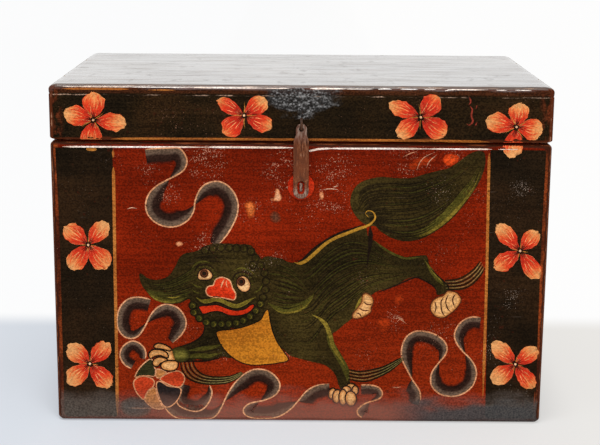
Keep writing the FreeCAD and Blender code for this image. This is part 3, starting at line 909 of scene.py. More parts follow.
class PaintLayer:
    def __init__(self, name):
        self.name, self.count = name, 0
        self.points, self.faces, self.finishes, self.face_finish = [], [], [], []
        self.marks = {"rim": [], "across": [], "along": []}

    def add(self, points, faces, finish, **marks):
        points = np.asarray(points, float)
        if finish not in self.finishes:
            self.finishes.append(finish)
        for face in faces:
            x, z = points[list(face), 0], points[list(face), 2]
            turned = np.dot(x, np.roll(z, -1)) - np.dot(z, np.roll(x, -1)) < 0
            self.faces.append([i + self.count for i in (reversed(face) if turned else face)])
            self.face_finish.append(self.finishes.index(finish))
        for label, values in self.marks.items():
            values.append(np.asarray(marks.get(label, np.zeros(len(points))), float))
        self.points.append(points)
        self.count += len(points)

    def add_mesh(self, mesh):
        points = np.zeros(len(mesh.vertices) * 3)
        mesh.vertices.foreach_get("co", points)
        marks = {}
        for label in self.marks:
            if label in mesh.attributes:
                marks[label] = np.zeros(len(mesh.vertices))
                mesh.attributes[label].data.foreach_get("value", marks[label])
        faces = [list(p.vertices) for p in mesh.polygons]
        self.add(points.reshape(-1, 3), faces, [m for m in mesh.materials if m][0], **marks)

    def dry(self, body, shell):
        flat = np.vstack(self.points)
        sharp = np.column_stack((flat[:, 0], np.full(len(flat), front_y), flat[:, 2]))
        placed, outward, _ = worn(sharp, shell)
        total = len(flat)
        used = {(face[i - 1], face[i]) for face in self.faces for i in range(len(face))}
        sides, side_finish = [], []
        for face, finish in zip(self.faces, self.face_finish):
            for a, b in zip(face[-1:] + face[:-1], face):
                if (b, a) not in used:
                    sides.append((a, a + total, b + total, b))
                    side_finish.append(finish)
        under = [[i + total for i in reversed(face)] for face in self.faces]
        points = np.vstack((placed + outward * flat[:, 1:2], placed - outward * sunk))
        marks = {label: np.tile(np.concatenate(values), 2) for label, values in self.marks.items()}
        face_finish = self.face_finish * 2 + side_finish
        piece = new_piece(self.name, points, self.faces + under + sides, self.finishes, face_finish, marks)
        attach(piece, body)
        print(self.name, "has", len(piece.data.polygons), "faces in", len(self.finishes), "colours")


print("layers are sunk", round(sunk / MM, 2), "mm into the board")

# %% [markdown]
# ## Smooth lines
#
# A brush never turns at a corner. A curve through every given point lets a few turning points describe a
# figure, and moving one changes the line only nearby.

# %% Smooth lines through the brush's turning points
def flowing(points, closed=False, steps=6):
    points = np.asarray(points, float)
    if closed:
        points = np.vstack((points[-1:], points, points[:2]))
    else:
        points = np.vstack((2 * points[:1] - points[1:2], points, 2 * points[-1:] - points[-2:-1]))
    line = []
    for p0, p1, p2, p3 in zip(points, points[1:], points[2:], points[3:]):
        for t in np.arange(steps) / steps:
            line.append(p1 + 0.5 * t * (p2 - p0 + t * (2 * p0 - 5 * p1 + 4 * p2 - p3 + t * (3 * (p1 - p2) + p3 - p0))))
    if not closed:
        line.append(points[-2])
    return np.array(line)


def painted_line(pixels, closed=False, steps=6):
    return np.array([on_front(*p) for p in flowing(pixels, closed, steps)])


print("four turning points become", len(flowing([(0, 0), (1, 2), (2, 2), (3, 0)])), "points")

# %% [markdown]
# ## Filled shapes
#
# A band, a bib or a toe is a filled outline. One large face could not follow the board's waves, so points
# are sown inside and joined into triangles, and each keeps its distance to the rim for the colour.

# %% Filled shapes
def fill_shape(outline, spacing):
    low, high = outline.min(0), outline.max(0)
    start, end = outline, np.roll(outline, -1, axis=0)
    run = end - start
    length = np.maximum((run**2).sum(1), 1e-18)
    across, upward = (np.arange(low[k] + spacing / 2, high[k], spacing) for k in (0, 1))
    grid = np.array([(x, z) for x in across for z in upward]).reshape(-1, 2)

    def rim_of(points):
        t = np.clip(((points[:, None] - start) * run).sum(2) / length, 0, 1)
        return np.linalg.norm(points[:, None] - start - t[..., None] * run, axis=2).min(1)

    if len(grid):
        x, z = grid[:, :1], grid[:, 1:]
        crosses = (start[:, 1] > z) != (end[:, 1] > z)
        slope = run[:, 0] / np.where(run[:, 1] == 0, 1e-12, run[:, 1])
        inside = (crosses & (x < start[:, 0] + (z - start[:, 1]) * slope)).sum(1) % 2 == 1
        grid = grid[inside]
    if len(grid):
        grid = grid[rim_of(grid) > 0.45 * spacing]
    loop = [Vector(p) for p in outline]
    found = delaunay_2d_cdt(loop + [Vector(p) for p in grid], [], [list(range(len(loop)))], 1, 1e-7)
    points = np.array([tuple(p) for p in found[0]])
    return points, [list(f) for f in found[2]], rim_of(points)


def add_shape(layer, pixels, finish, height, spacing=3.0, steps=6):
    points, faces, rim = fill_shape(painted_line(pixels, True, steps), spacing * MM)
    raised = np.full(len(points), height * MM)
    layer.add(np.column_stack((points[:, 0], raised, points[:, 1])), faces, finish, rim=rim / MM)


print("a disc of 40 pixels is filled with",
      len(fill_shape(painted_line([(300, 200), (340, 240), (300, 280), (260, 240)], True), 3 * MM)[1]), "triangles")

# %% [markdown]
# ## A brush stroke as a Geometry Nodes tree
#
# Outlines, hair and gold lines are all a loaded brush drawn along a path. The tree samples the path at even
# steps, sweeps a flat line as wide as the stored radius, and raises its middle like wet paint.

# %% Brush stroke tree
stroke_sockets = (
    ("Path", "NodeSocketGeometry", None),
    ("Step", "NodeSocketFloat", 2 * MM),
    ("Hairs", "NodeSocketInt", 5),
    ("Level", "NodeSocketFloat", 0.1 * MM),
    ("Rise", "NodeSocketFloat", 0.1 * MM),
    ("Finish", "NodeSocketMaterial", None),
)


def stroke_tree():
    tree = bpy.data.node_groups.new("brush_stroke", "GeometryNodeTree")
    sockets = {}
    for label, kind, value in stroke_sockets:
        sockets[label] = tree.interface.new_socket(label, in_out="INPUT", socket_type=kind)
        if value is not None:
            sockets[label].default_value = value
    tree.interface.new_socket("Stroke", in_out="OUTPUT", socket_type="NodeSocketGeometry")
    given = tree.nodes.new("NodeGroupInput").outputs
    even = add_node(tree, "GeometryNodeResampleCurve", {"Curve": given["Path"], "Length": given["Step"]},
                    mode="LENGTH")
    facing = add_node(tree, "GeometryNodeSetCurveNormal", {"Curve": even.outputs[0], "Normal": (0.0, -1.0, 0.0)},
                      mode="FREE")
    hairs = add_node(tree, "GeometryNodeCurvePrimitiveLine", {"Start": (0.0, -1.0, 0.0), "End": (0.0, 1.0, 0.0)})
    hairs = add_node(tree, "GeometryNodeResampleCurve", {"Curve": hairs.outputs[0], "Count": given["Hairs"]},
                     mode="COUNT")
    share = tree.nodes.new("GeometryNodeSplineParameter").outputs["Factor"]
    storing = {"Geometry": hairs.outputs[0], "Name": "across", "Value": share}
    across = add_node(tree, "GeometryNodeStoreNamedAttribute", storing, data_type="FLOAT", domain="POINT")
    radius = tree.nodes.new("GeometryNodeInputRadius").outputs[0]
    sweeping = {"Curve": facing.outputs[0], "Profile Curve": across.outputs[0], "Scale": radius}
    sweep = add_node(tree, "GeometryNodeCurveToMesh", sweeping)
    side = add_node(tree, "GeometryNodeInputNamedAttribute", {"Name": "across"}, data_type="FLOAT").outputs[0]
    arch = times(tree, times(tree, side, minus(tree, 1.0, side)), 4.0)
    height = plus(tree, given["Level"], times(tree, arch, given["Rise"]))
    offset = add_node(tree, "ShaderNodeCombineXYZ", {1: height}).outputs[0]
    raised = add_node(tree, "GeometryNodeSetPosition", {"Geometry": sweep.outputs[0], "Offset": offset})
    real = add_node(tree, "GeometryNodeRealizeInstances", {0: raised.outputs[0]})
    coloured = add_node(tree, "GeometryNodeSetMaterial", {"Geometry": real.outputs[0], "Material": given["Finish"]})
    add_node(tree, "NodeGroupOutput", {0: coloured.outputs[0]})
    return tree, {label: socket.identifier for label, socket in sockets.items()}


brush_stroke, stroke_input = stroke_tree()
print("brush stroke inputs:", list(stroke_input))

# %% [markdown]
# ## Drawing with the brush
#
# The tree is a modifier, so a helper lends it an object and keeps the plain mesh. Strokes of one colour
# share a run, which is quicker. A stroke is a line with a radius at every point: the brush presses in the
# middle and lifts at the ends.

# %% Strokes
lightest_press, broad_stroke = 0.12, 1.5 * MM


def made_by(tree, inputs, data):
    holder = bpy.data.objects.new("sketch", data)
    scene.collection.objects.link(holder)
    modifier = holder.modifiers.new("making", "NODES")
    modifier.node_group = tree
    for identifier, value in inputs.items():
        modifier[identifier] = value
    bpy.context.view_layer.update()
    mesh = bpy.data.meshes.new_from_object(holder.evaluated_get(bpy.context.evaluated_depsgraph_get()))
    bpy.data.objects.remove(holder)
    return mesh


def add_strokes(layer, strokes, finish, level, rise=0.1, step=1.8):
    paths = bpy.data.curves.new("paths", "CURVE")
    paths.dimensions = "3D"
    for line, radius in strokes:
        spline = paths.splines.new("POLY")
        spline.points.add(len(line) - 1)
        places = np.column_stack((line[:, 0], np.zeros(len(line)), line[:, 1], np.ones(len(line))))
        spline.points.foreach_set("co", places.ravel())
        spline.points.foreach_set("radius", radius)
    hairs = 5 if max(radius.max() for line, radius in strokes) > broad_stroke else 3
    values = {"Step": step * MM, "Hairs": hairs, "Level": level * MM, "Rise": rise * MM, "Finish": finish}
    layer.add_mesh(made_by(brush_stroke, {stroke_input[k]: v for k, v in values.items()}, paths))


def stroke(pixels, width, thin_start=0.0, thin_end=0.0, closed=False):
    line = painted_line(pixels, closed)
    if closed:
        line = np.vstack((line, line[:1]))
    t = np.linspace(0, 1, len(line))
    press = np.ones(len(line))
    if thin_start or thin_end:
        landing, lifting = t / max(thin_start, 1e-6), (1 - t) / max(thin_end, 1e-6)
        press = np.minimum(1, np.minimum(landing, lifting))
    return line, np.maximum(press, lightest_press) * width * pixel / 2


print("a stroke of 2 pixels is", round(2 * pixel / MM, 2), "mm wide")

# %% [markdown]
# ## Dark bands and gold lines
#
# Before the figures, the painter framed the red panel: a dark band at each end, a gold line beside each
# band and one along the lid's lower edge. The lines were drawn along a straightedge but by hand, so their
# ends and widths wander a little.

# %% Bands and gold lines
frame_lines = PaintLayer("bands_and_gold_lines")
add_shape(frame_lines, [(112.2, 147.8), (112.6, 156), (114, 230), (115.5, 330), (116.8, 408), (117, 414.6),
                        (115, 416.6), (109, 417), (71, 416.6), (67, 416), (64.8, 413.6), (64.4, 407), (62.2, 330),
                        (59.4, 230), (55.6, 156), (56, 148), (60, 147.4), (108, 147.4)], dark_band, 0.1, 6.0)
add_shape(frame_lines, [(491, 150.6), (490.4, 158), (488.8, 230), (486.8, 330), (485.2, 409), (485, 415.6),
                        (487, 417.8), (493, 418.2), (529, 418.4), (533, 417.8), (535.4, 415), (535.8, 408),
                        (538, 330), (542, 230), (545.8, 160), (545.4, 151.4), (541, 150.4), (496, 150)],
          dark_band, 0.1, 6.0)
add_strokes(frame_lines, [
    stroke([(113, 150), (113.2, 154), (113, 158)], 2.4, 0, 0.4),
    stroke([(113.4, 167), (114, 200), (115, 270), (116.4, 340), (117.4, 416)], 3.1, 0.03, 0.03),
    stroke([(489.2, 153), (488.2, 200), (486.8, 270), (484.8, 340), (482.8, 398)], 2.8, 0.02, 0.12),
], gold_line, 0.14, 0.1, 3.0)
frame_lines.dry("trunk", body_shell)

lid_lines = PaintLayer("lid_gold_lines")
add_strokes(lid_lines, [
    stroke([(111, 139.2), (180, 139.4), (260, 139.9), (340, 140.4), (420, 141.2), (490, 142.2)], 3.3, 0.02, 0.02),
    stroke([(62, 88.6), (96, 88.7), (129, 89.1)], 2.2, 0.15, 0.1),
    stroke([(148, 89.9), (176, 90.1)], 1.4, 0.4, 0.4),
], gold_line, 0.14, 0.1, 3.0)
lid_lines.dry("lid", lid_shell)

# %% [markdown]
# ## Ribbons
#
# Each ribbon is a thin pale line with shading on its inner side: grey, then nearly black, then fading into
# the red. The colour runs along the stored distance from the line and ends in the ground's own colour. A
# transparent layer would do too, but this one needs no blending.

# %% Ribbon colours
ribbon_shade, tree = new_material("ribbon_shade")
wobble = times(tree, minus(tree, speckle(tree, object_place(tree), 120.0, detail=4.0), 0.5), 0.1)
inward = plus(tree, stored(tree, "across"), wobble)
colour = tone_ramp(tree, inward, [(0.0, (110, 86, 67)), (0.27, (92, 72, 58)), (0.4, (48, 30, 23)),
                                  (0.75, (35, 19, 13))])
# The fade ends in the ground's red, with the same painted shade and light by height.
ground = shade_and_light_by_height(tree, tone_ramp(tree, cloud_drift(tree), red_tones))
colour = mix_colour(tree, soft_step(tree, inward, 0.7, 0.94), colour, ground)
colour, streaks = aged(tree, colour, 0.36, 1.0, lacquer_fleck, haze=0.7)
close_finish(tree, colour, paint_roughness(tree, streaks), 0.02, streaks["Streak"], 0.2 * MM)
ribbon_edge = paint("ribbon_edge", evenly((196, 130, 88), (222, 160, 116)), fleck_amount=1.6,
                    fleck_colour=(110, 44, 24), haze=0.2)
print("ribbon colours:", ribbon_shade.name, ribbon_edge.name)

# %% [markdown]
# ## Shading on the hollow side
#
# Where a ribbon's bend changes sides, its shading swaps sides too and thins to nothing. That is a rule, so
# the script follows it: it measures the bend, splits the line where it changes sign, and lays a strip on
# the hollow side of each stretch.

# %% Ribbon shading
strip_points, shade_height = 6, 0.1 * MM


def smoothed(values, half, mode, **padding):
    window = 2 * half + 1
    return np.convolve(np.pad(values, half, mode, **padding), np.ones(window) / window, "valid")


def add_ribbon(layer, pixels, depth, open_end):
    line = painted_line(pixels, steps=10)
    gap = np.gradient(line, axis=0)
    heading = np.unwrap(np.arctan2(gap[:, 1], gap[:, 0]))
    heading = smoothed(heading, 8, "reflect", reflect_type="odd")
    turn = smoothed(np.gradient(heading), 8, "edge")
    bend_radius = np.linalg.norm(gap, axis=1) / np.maximum(np.abs(turn), 1e-6)
    reach = smoothed(np.minimum(depth * pixel, 1.15 * bend_radius), 10, "edge")
    hollow = np.column_stack((-np.sin(heading), np.cos(heading)))
    stretches = np.split(np.arange(len(line)), np.where(np.diff(np.sign(turn)) != 0)[0] + 1)
    for number, stretch in enumerate(stretches):
        if len(stretch) < 5:
            continue
        t = np.linspace(0, 1, len(stretch))
        if number == 0:
            t = 0.5 + t / 2
        if number == len(stretches) - 1 and open_end:
            t = t * 0.93
        wide = np.minimum(1, 1.9 * np.sin(np.pi * t)) ** 0.7 * reach[stretch] * np.sign(turn[stretch].mean())
        columns = np.linspace(0, 1, strip_points)
        flat = line[stretch][:, None] + (hollow[stretch] * wide[:, None])[:, None] * columns[None, :, None]
        x, z = flat[..., 0].ravel(), flat[..., 1].ravel()
        points = np.column_stack((x, np.full(x.size, shade_height), z))
        starts = [i * strip_points + k for i in range(len(stretch) - 1) for k in range(strip_points - 1)]
        faces = [(a, a + 1, a + strip_points + 1, a + strip_points) for a in starts]
        layer.add(points, faces, ribbon_shade, across=np.tile(columns, len(stretch)))


print("shading strips have", strip_points, "points across")

# %% [markdown]
# ## The seven ribbons
#
# Only each pale line is given, with the depth of its shading in pixels. The shading goes on first and the
# line over it, as the painter did. Beside the ball the shading closes to a point at its end.

# %% The ribbons of the body
ribbon_top = [
    (145, 149.5), (153, 148.6), (166, 148), (179, 148.2), (185, 154.8), (187, 162.2), (184, 169.6), (176.7, 175.2),
    (166.8, 180.1), (157, 185.6), (149.5, 193), (146, 201.7), (146.5, 211.5), (152, 219.6), (160.6, 225.1),
    (170.5, 227), (180.4, 225.1), (189, 219), (193.9, 210.3), (195.2, 200.4), (200.1, 189.3), (207.5, 183.2),
    (217.4, 181.3), (226, 184.4), (233.4, 191.8), (237.7, 201.7), (237.7, 211.5), (234.6, 221.4), (228.5, 232.5),
    (222.3, 240.5), (216, 247),
]
ribbon_left = [
    (150.7, 299.6), (143.6, 297.8), (133.9, 297.4), (125.9, 300.5), (119.7, 308), (117.2, 317.7), (117.8, 327.5),
    (122.4, 335), (129.5, 338.5), (136.5, 337.2), (141.8, 331.9), (146.3, 323.9), (150.7, 315), (156.9, 308),
    (164, 304.5), (171, 304.9), (178.1, 308), (183.4, 314.2), (186.1, 321.3), (185.2, 328.3), (180.8, 335.4),
    (172.8, 342.9),
]
ribbon_loop = [
    (131.2, 368.6), (125, 365), (120.6, 358.4), (120.4, 351.3), (124.2, 345.2), (131.2, 341.2), (138.3, 342.5),
    (144, 347.8), (146, 354), (144.9, 359.3),
]
ribbon_ball = [
    (179.4, 383), (177.4, 390), (176.2, 396), (176.9, 401.9), (180.2, 406.5), (189, 410.3), (197.5, 411.2),
    (204.9, 407.5), (210.5, 399), (211.9, 391.6), (209.6, 385),
]
ribbon_low = [
    (160, 399), (164.5, 407), (169.5, 413), (177, 418), (188, 420), (200, 420.2), (210, 419), (216.5, 415),
    (221.6, 407), (229.6, 390.4), (240.8, 376.8), (253.6, 369.6), (266.4, 370.4), (276, 376.8), (280, 385.6),
    (276, 394.4), (264.8, 400), (250.4, 403.2), (244, 408), (244, 413.4), (250.4, 417.4), (262, 418.6), (273, 418),
    (282, 415), (291.2, 408.7), (298.8, 400), (307.4, 390.4), (317.6, 385.2), (329, 383.6),
]
ribbon_paw = [
    (361, 385), (368.8, 384.8), (378.4, 387.2), (382.4, 393.6), (378.4, 399.2), (365.6, 403.2), (357.6, 409.6),
    (358.4, 415), (362, 417.5),
]
ribbon_right = [
    (480.9, 317.5), (472, 317), (463.7, 320.1), (457.5, 326.3), (454.4, 334.7), (456.5, 343), (462.7, 351.3),
    (470, 358.5), (475.2, 366.8), (476.2, 376.2), (472, 386.6), (462.7, 393.8), (452.3, 396.4), (440.9, 394.4),
    (432.6, 387.6), (430.5, 379.3), (432.6, 371), (438.8, 362.7), (445, 355.4), (447.1, 348.2), (444, 340.9),
    (435.7, 334.7), (425.3, 331.5), (414.9, 331.5), (406.6, 336.7), (401.9, 347.1), (401.9, 358.5), (406.6, 368.9),
    (412.8, 380.3), (419.1, 389.7), (420.6, 398), (418.6, 405.3),
]

ribbon_paths = [
    (ribbon_top, 18), (ribbon_left, 16), (ribbon_loop, 12), (ribbon_ball, 15), (ribbon_low, 17), (ribbon_paw, 12.5),
    (ribbon_right, 14.5),
]
ribbons = PaintLayer("ribbons")
for path, depth in ribbon_paths:
    add_ribbon(ribbons, path, depth, open_end=path is not ribbon_ball)
add_strokes(ribbons, [stroke(path, 1.4, 0.02, 0.04) for path, depth in ribbon_paths], ribbon_edge, 0.14, 0.08)
ribbons.dry("trunk", body_shell)

# %% [markdown]
# ## Petal colour
#
# Every petal is one loaded stroke: red where the brush landed, orange at the tip, with pale streaks left by
# its hairs. The petal stores how far along and across it a point lies, so the streaks fan out with its
# shape.

# %% Petal colour
petal_paint, tree = new_material("petal_paint")
length_along = stored(tree, "along")
width_across = stored(tree, "across")
grain = speckle(tree, object_place(tree), 170.0, detail=4.0)
fanned = {0: times(tree, width_across, 9.0), 1: times(tree, length_along, 1.6), 2: times(tree, grain, 0.8)}
fan = add_node(tree, "ShaderNodeCombineXYZ", fanned).outputs[0]
bristles = speckle(tree, fan, 1.0, detail=3.0)
washed = soft_step(tree, speckle(tree, object_place(tree), 14.0, shift=3.7), 0.36, 0.64, -0.16, 0.16)
redder_lid = soft_step(tree, place_xyz(tree)[2], 0.34, 0.36, 0.06, -0.09)
value = plus(tree, plus(tree, length_along, washed), redder_lid)
value = plus(tree, value, times(tree, minus(tree, bristles, 0.5), 1.1))
colour = tone_ramp(tree, value, [(0.0, (178, 30, 8)), (0.35, (204, 46, 16)), (0.55, (213, 76, 32)),
                                 (0.72, (220, 124, 64)), (1.0, (224, 156, 94))])
hairs = soft_step(tree, speckle(tree, fan, 2.0, detail=2.0, shift=1.3), 0.58, 0.68)
hairs = times(tree, hairs, soft_step(tree, length_along, 0.9, 0.4))
colour = mix_colour(tree, times(tree, hairs, 0.75), colour, pigment(236, 172, 112))
colour, streaks = aged(tree, colour, 0.18, 0.8, (120, 46, 22))
close_finish(tree, colour, paint_roughness(tree, streaks), 0.12, hairs, 0.15 * MM)
blossom_eye = paint("blossom_eye", evenly((34, 18, 12), (58, 26, 16)))
blossom_dot = paint("blossom_dot", evenly((222, 168, 122), (236, 190, 150)))
petal_hair = paint("petal_hair", evenly((226, 132, 76), (236, 164, 108)))
stamen_ochre = paint("stamen_ochre", evenly((150, 92, 34), (196, 128, 58)))
print("blossom colours:", [m.name for m in (petal_paint, blossom_eye, blossom_dot, petal_hair, stamen_ochre)])

# %% [markdown]
# ## One petal
#
# A petal is narrow at the eye, widest beyond its middle and round at the tip. One mesh of unit size is
# enough, because the tree below stretches it.

# %% Petal mesh
widest = 0.62


def petal_mesh(rows=12, columns=9):
    points, faces, along, across = [], [], [], []
    for i in range(rows):
        r = 0.998 * math.sin(0.5 * math.pi * i / (rows - 1))
        for k in range(columns):
            u = 2 * k / (columns - 1) - 1
            if r < widest:
                spread = 0.22 + 0.78 * math.sin(0.5 * math.pi * (r / widest) ** 0.85)
            else:
                spread = (1.0 - ((r - widest) / (1 - widest)) ** 1.8) ** 0.66
            points.append((0.5 * u * spread, 0.0, 0.1 + 0.9 * r))
            along.append(r)
            across.append(u)
    for i in range(rows - 1):
        for k in range(columns - 1):
            a = i * columns + k
            faces.append((a, a + 1, a + columns + 1, a + columns))
    mesh = bpy.data.meshes.new("petal")
    mesh.from_pydata(points, [], faces)
    mesh.attributes.new("along", "FLOAT", "POINT").data.foreach_set("value", along)
    mesh.attributes.new("across", "FLOAT", "POINT").data.foreach_set("value", across)
    return mesh


petal_model = bpy.data.objects.new("petal_model", petal_mesh())
print("petal:", len(petal_model.data.polygons), "faces")

# %% [markdown]
# ## Petals on points, as a Geometry Nodes tree
#
# Eight blossoms have four petals each. Thirty-two could be placed by hand, but a tree that sets one petal
# on points with a direction, a length and a width is easier to change.

# %% Blossom tree
blossom_sockets = (("Centres", "NodeSocketGeometry"), ("Petal", "NodeSocketObject"), ("Level", "NodeSocketFloat"),
                   ("Finish", "NodeSocketMaterial"))


def blossom_tree():
    tree = bpy.data.node_groups.new("blossoms", "GeometryNodeTree")
    names = {}
    for label, kind in blossom_sockets:
        names[label] = tree.interface.new_socket(label, in_out="INPUT", socket_type=kind).identifier
    tree.interface.new_socket("Blossoms", in_out="OUTPUT", socket_type="NodeSocketGeometry")
    given = tree.nodes.new("NodeGroupInput").outputs
    carried = [add_node(tree, "GeometryNodeInputNamedAttribute", {"Name": label}, data_type="FLOAT")
               for label in ("turn", "petal_length", "petal_width")]
    turn, length, width = (node.outputs[0] for node in carried)
    petal = add_node(tree, "GeometryNodeObjectInfo", {"Object": given["Petal"]})
    angles = add_node(tree, "ShaderNodeCombineXYZ", {1: turn})
    size = add_node(tree, "ShaderNodeCombineXYZ", {0: width, 1: 1.0, 2: length})
    laying = {"Points": given["Centres"], "Instance": petal.outputs["Geometry"], "Rotation": angles.outputs[0],
              "Scale": size.outputs[0]}
    laid = add_node(tree, "GeometryNodeInstanceOnPoints", laying)
    real = add_node(tree, "GeometryNodeRealizeInstances", {0: laid.outputs[0]})
    offset = add_node(tree, "ShaderNodeCombineXYZ", {1: given["Level"]}).outputs[0]
    raised = add_node(tree, "GeometryNodeSetPosition", {"Geometry": real.outputs[0], "Offset": offset})
    coloured = add_node(tree, "GeometryNodeSetMaterial",
                        {"Geometry": raised.outputs[0], "Material": given["Finish"]})
    add_node(tree, "NodeGroupOutput", {0: coloured.outputs[0]})
    return tree, names


blossoms, blossom_input = blossom_tree()
print("blossom tree inputs:", list(blossom_input))

# %% [markdown]
# ## Where the blossoms are
#
# Four blossoms are on the lid and four on the bands. Each has its centre, and for each petal the offset of
# its tip and its width, in pixels. They become points for the tree.

# %% Petal points
lid_blossoms = [
    ((93.3, 120), [((0.5, -28), 22), ((-29, -7.4), 20), ((-3, 28), 21), ((33, 3.7), 18)]),
    ((244, 115.5), [((-26.5, -16), 14), ((22, -16.8), 18), ((-20, 18.5), 21), ((27.5, 12.5), 17)]),
    ((420.8, 117.3), [((-32, -14), 16), ((17, -21), 21), ((-23, 19), 19), ((25, 18), 21)]),
    ((516.6, 127), [((4, -24), 20), ((-31, -7), 20), ((26, 4), 21), ((-6, 31), 20)]),
]
body_blossoms = [
    ((88.3, 244.9), [((-24, -19), 20), ((19, -23.5), 18), ((-18.5, 24), 20), ((20, 23), 22)]),
    ((90, 363.7), [((-22, -18), 20), ((19, -21), 18), ((-22.5, 19.5), 20), ((20.5, 23), 20)]),
    ((520.1, 250.9), [((-23, -26.5), 17), ((17.5, -20), 17), ((-25.5, 17.5), 19), ((19, 27.5), 17)]),
    ((515.3, 364.2), [((-22.5, -22), 18), ((22, -15.5), 18), ((-23, 18.5), 20), ((18.5, 24.5), 17)]),
]


def petal_points(flowers):
    centres, turn, length, width = [], [], [], []
    for (cx, cy), petals in flowers:
        for (dx, dy), wide in petals:
            x, z = on_front(cx, cy)
            tip_x, tip_z = on_front(cx + dx, cy + dy)
            centres.append((x, 0.0, z))
            turn.append(math.atan2(tip_x - x, tip_z - z))
            length.append(math.hypot(tip_x - x, tip_z - z))
            width.append(wide * pixel)
    points = bpy.data.meshes.new("centres")
    points.from_pydata(centres, [], [])
    for label, values in (("turn", turn), ("petal_length", length), ("petal_width", width)):
        points.attributes.new(label, "FLOAT", "POINT").data.foreach_set("value", values)
    return points


print("blossoms:", len(lid_blossoms), "on the lid and", len(body_blossoms), "on the body")

# %% [markdown]
# ## Laying the petals
#
# No brush leaves a clean oval, so noise nudges the petals, most at their tips. One lid blossom runs over
# the gap onto the body, so a layer can keep only what lies above or below a height.

# %% Laying the petals
petal_level, shake, fray = 0.24 * MM, 1.8 * MM, 1.6 * MM


def add_blossoms(layer, flowers, keep=None):
    values = {"Petal": petal_model, "Level": petal_level, "Finish": petal_paint}
    mesh = made_by(blossoms, {blossom_input[k]: v for k, v in values.items()}, petal_points(flowers))
    for v in mesh.vertices:
        at = v.co * 230
        v.co.x += shake * noise.noise(at)
        v.co.z += shake * noise.noise(at + Vector((9, 9, 9)))
        ragged = fray * mesh.attributes["along"].data[v.index].value
        v.co += ragged * Vector((noise.noise(at * 3), 0.0, noise.noise(at * 3 + Vector((5, 5, 5)))))
    if keep is not None:
        cut = bmesh.new()
        cut.from_mesh(mesh)
        limit, side = keep
        everything = cut.verts[:] + cut.edges[:] + cut.faces[:]
        bmesh.ops.bisect_plane(cut, geom=everything, plane_co=(0, 0, limit), plane_no=(0, 0, side),
                               clear_inner=True)
        cut.to_mesh(mesh)
        cut.free()
    if len(mesh.polygons):
        layer.add_mesh(mesh)


print("petals shake by", round(shake / MM, 1), "mm")

# %% [markdown]
# ## Eyes, stamens and pale hairs
#
# A dark eye with a pale dot, thin lines into the petals, ochre stamens between them and a few pale hairs
# are small discs and strokes. Strokes that end below the lid's edge are left off, because they would hang
# in the gap.

# %% Eyes and stamens
def ring(cx, cy, across, down, count):
    return [(cx + across * math.sin(a), cy + down * math.cos(a)) for a in np.arange(count) * 2 * math.pi / count]


def add_eyes(layer, flowers, reach, lowest=0.0):
    lines, stamens, pale = [], [], []
    for (cx, cy), petals in flowers:
        add_shape(layer, ring(cx, cy, 2.2, 2.0, 8), blossom_eye, 0.36, 2.0, 3)
        add_shape(layer, ring(cx, cy, 1.2, 1.2, 6), blossom_dot, 0.42, 2.0, 3)
        ways = sorted(math.atan2(dy, dx) for (dx, dy), wide in petals)
        for a, b in zip(ways, ways[1:] + [ways[0] + 2 * math.pi]):
            middle = (a + b) / 2 + 0.08
            bent = ((2.5, 0.0), (0.6 * reach, 0.06), (reach, 0.0))
            stamens.append([(cx + r * math.cos(middle + turn), cy + r * math.sin(middle + turn))
                            for r, turn in bent])
            lines += [[(cx + r * math.cos(w), cy + r * math.sin(w)) for r in (2.2, 9)]
                      for w in (a - 0.24, a, a + 0.24)]
        for (dx, dy), wide in petals:
            for slant, far in ((0.26, 0.64), (0.04, 0.76), (-0.24, 0.6)):
                pale.append([(cx + k * (dx - slant * dy), cy + k * (dy + slant * dx)) for k in (0.36, far)])
    drawn = ((pale, 0.55, petal_hair, 0.28), (lines, 0.75, blossom_eye, 0.3), (stamens, 0.8, stamen_ochre, 0.33))
    for strokes, width, finish, level in drawn:
        kept = [stroke(line, width, 0.1, 0.5) for line in strokes if on_front(*line[-1])[1] > lowest]
        add_strokes(layer, kept, finish, level, 0.05, 1.0)


print("an eye is", round(2 * 2.2 * pixel / MM, 1), "mm wide")

# %% [markdown]
# ## The eight blossoms
#
# The lid's blossoms ride on the lid and the others on the body, so they are two layers. What lies below the
# gap belongs to the body.

# %% The blossoms
lid_flowers = PaintLayer("lid_blossoms")
add_blossoms(lid_flowers, lid_blossoms, (lid_shell.low + 0.6 * MM, 1))
add_eyes(lid_flowers, lid_blossoms, 13, lid_shell.low + 2 * MM)
lid_flowers.dry("lid", lid_shell)
body_flowers = PaintLayer("body_blossoms")
add_blossoms(body_flowers, body_blossoms)
add_blossoms(body_flowers, lid_blossoms[3:], (body_shell.high - 1.0 * MM, -1))
add_shape(body_flowers, [(86.6, 148.2), (91, 147.8), (95.6, 148), (96, 150.4), (91, 151), (87, 150.2)],
          stamen_ochre, 0.24, 2.0)
add_eyes(body_flowers, body_blossoms, 8)
body_flowers.dry("trunk", body_shell)

# %% [markdown]
# ## The lion
#
# The lion is a dark olive silhouette with lighter hair, yellow-green edges, a face, a bib and paws painted
# over it. The painter mixed a pot for each colour, so each has a material. Below, the number after a colour
# is that layer's height above the board in millimetres.

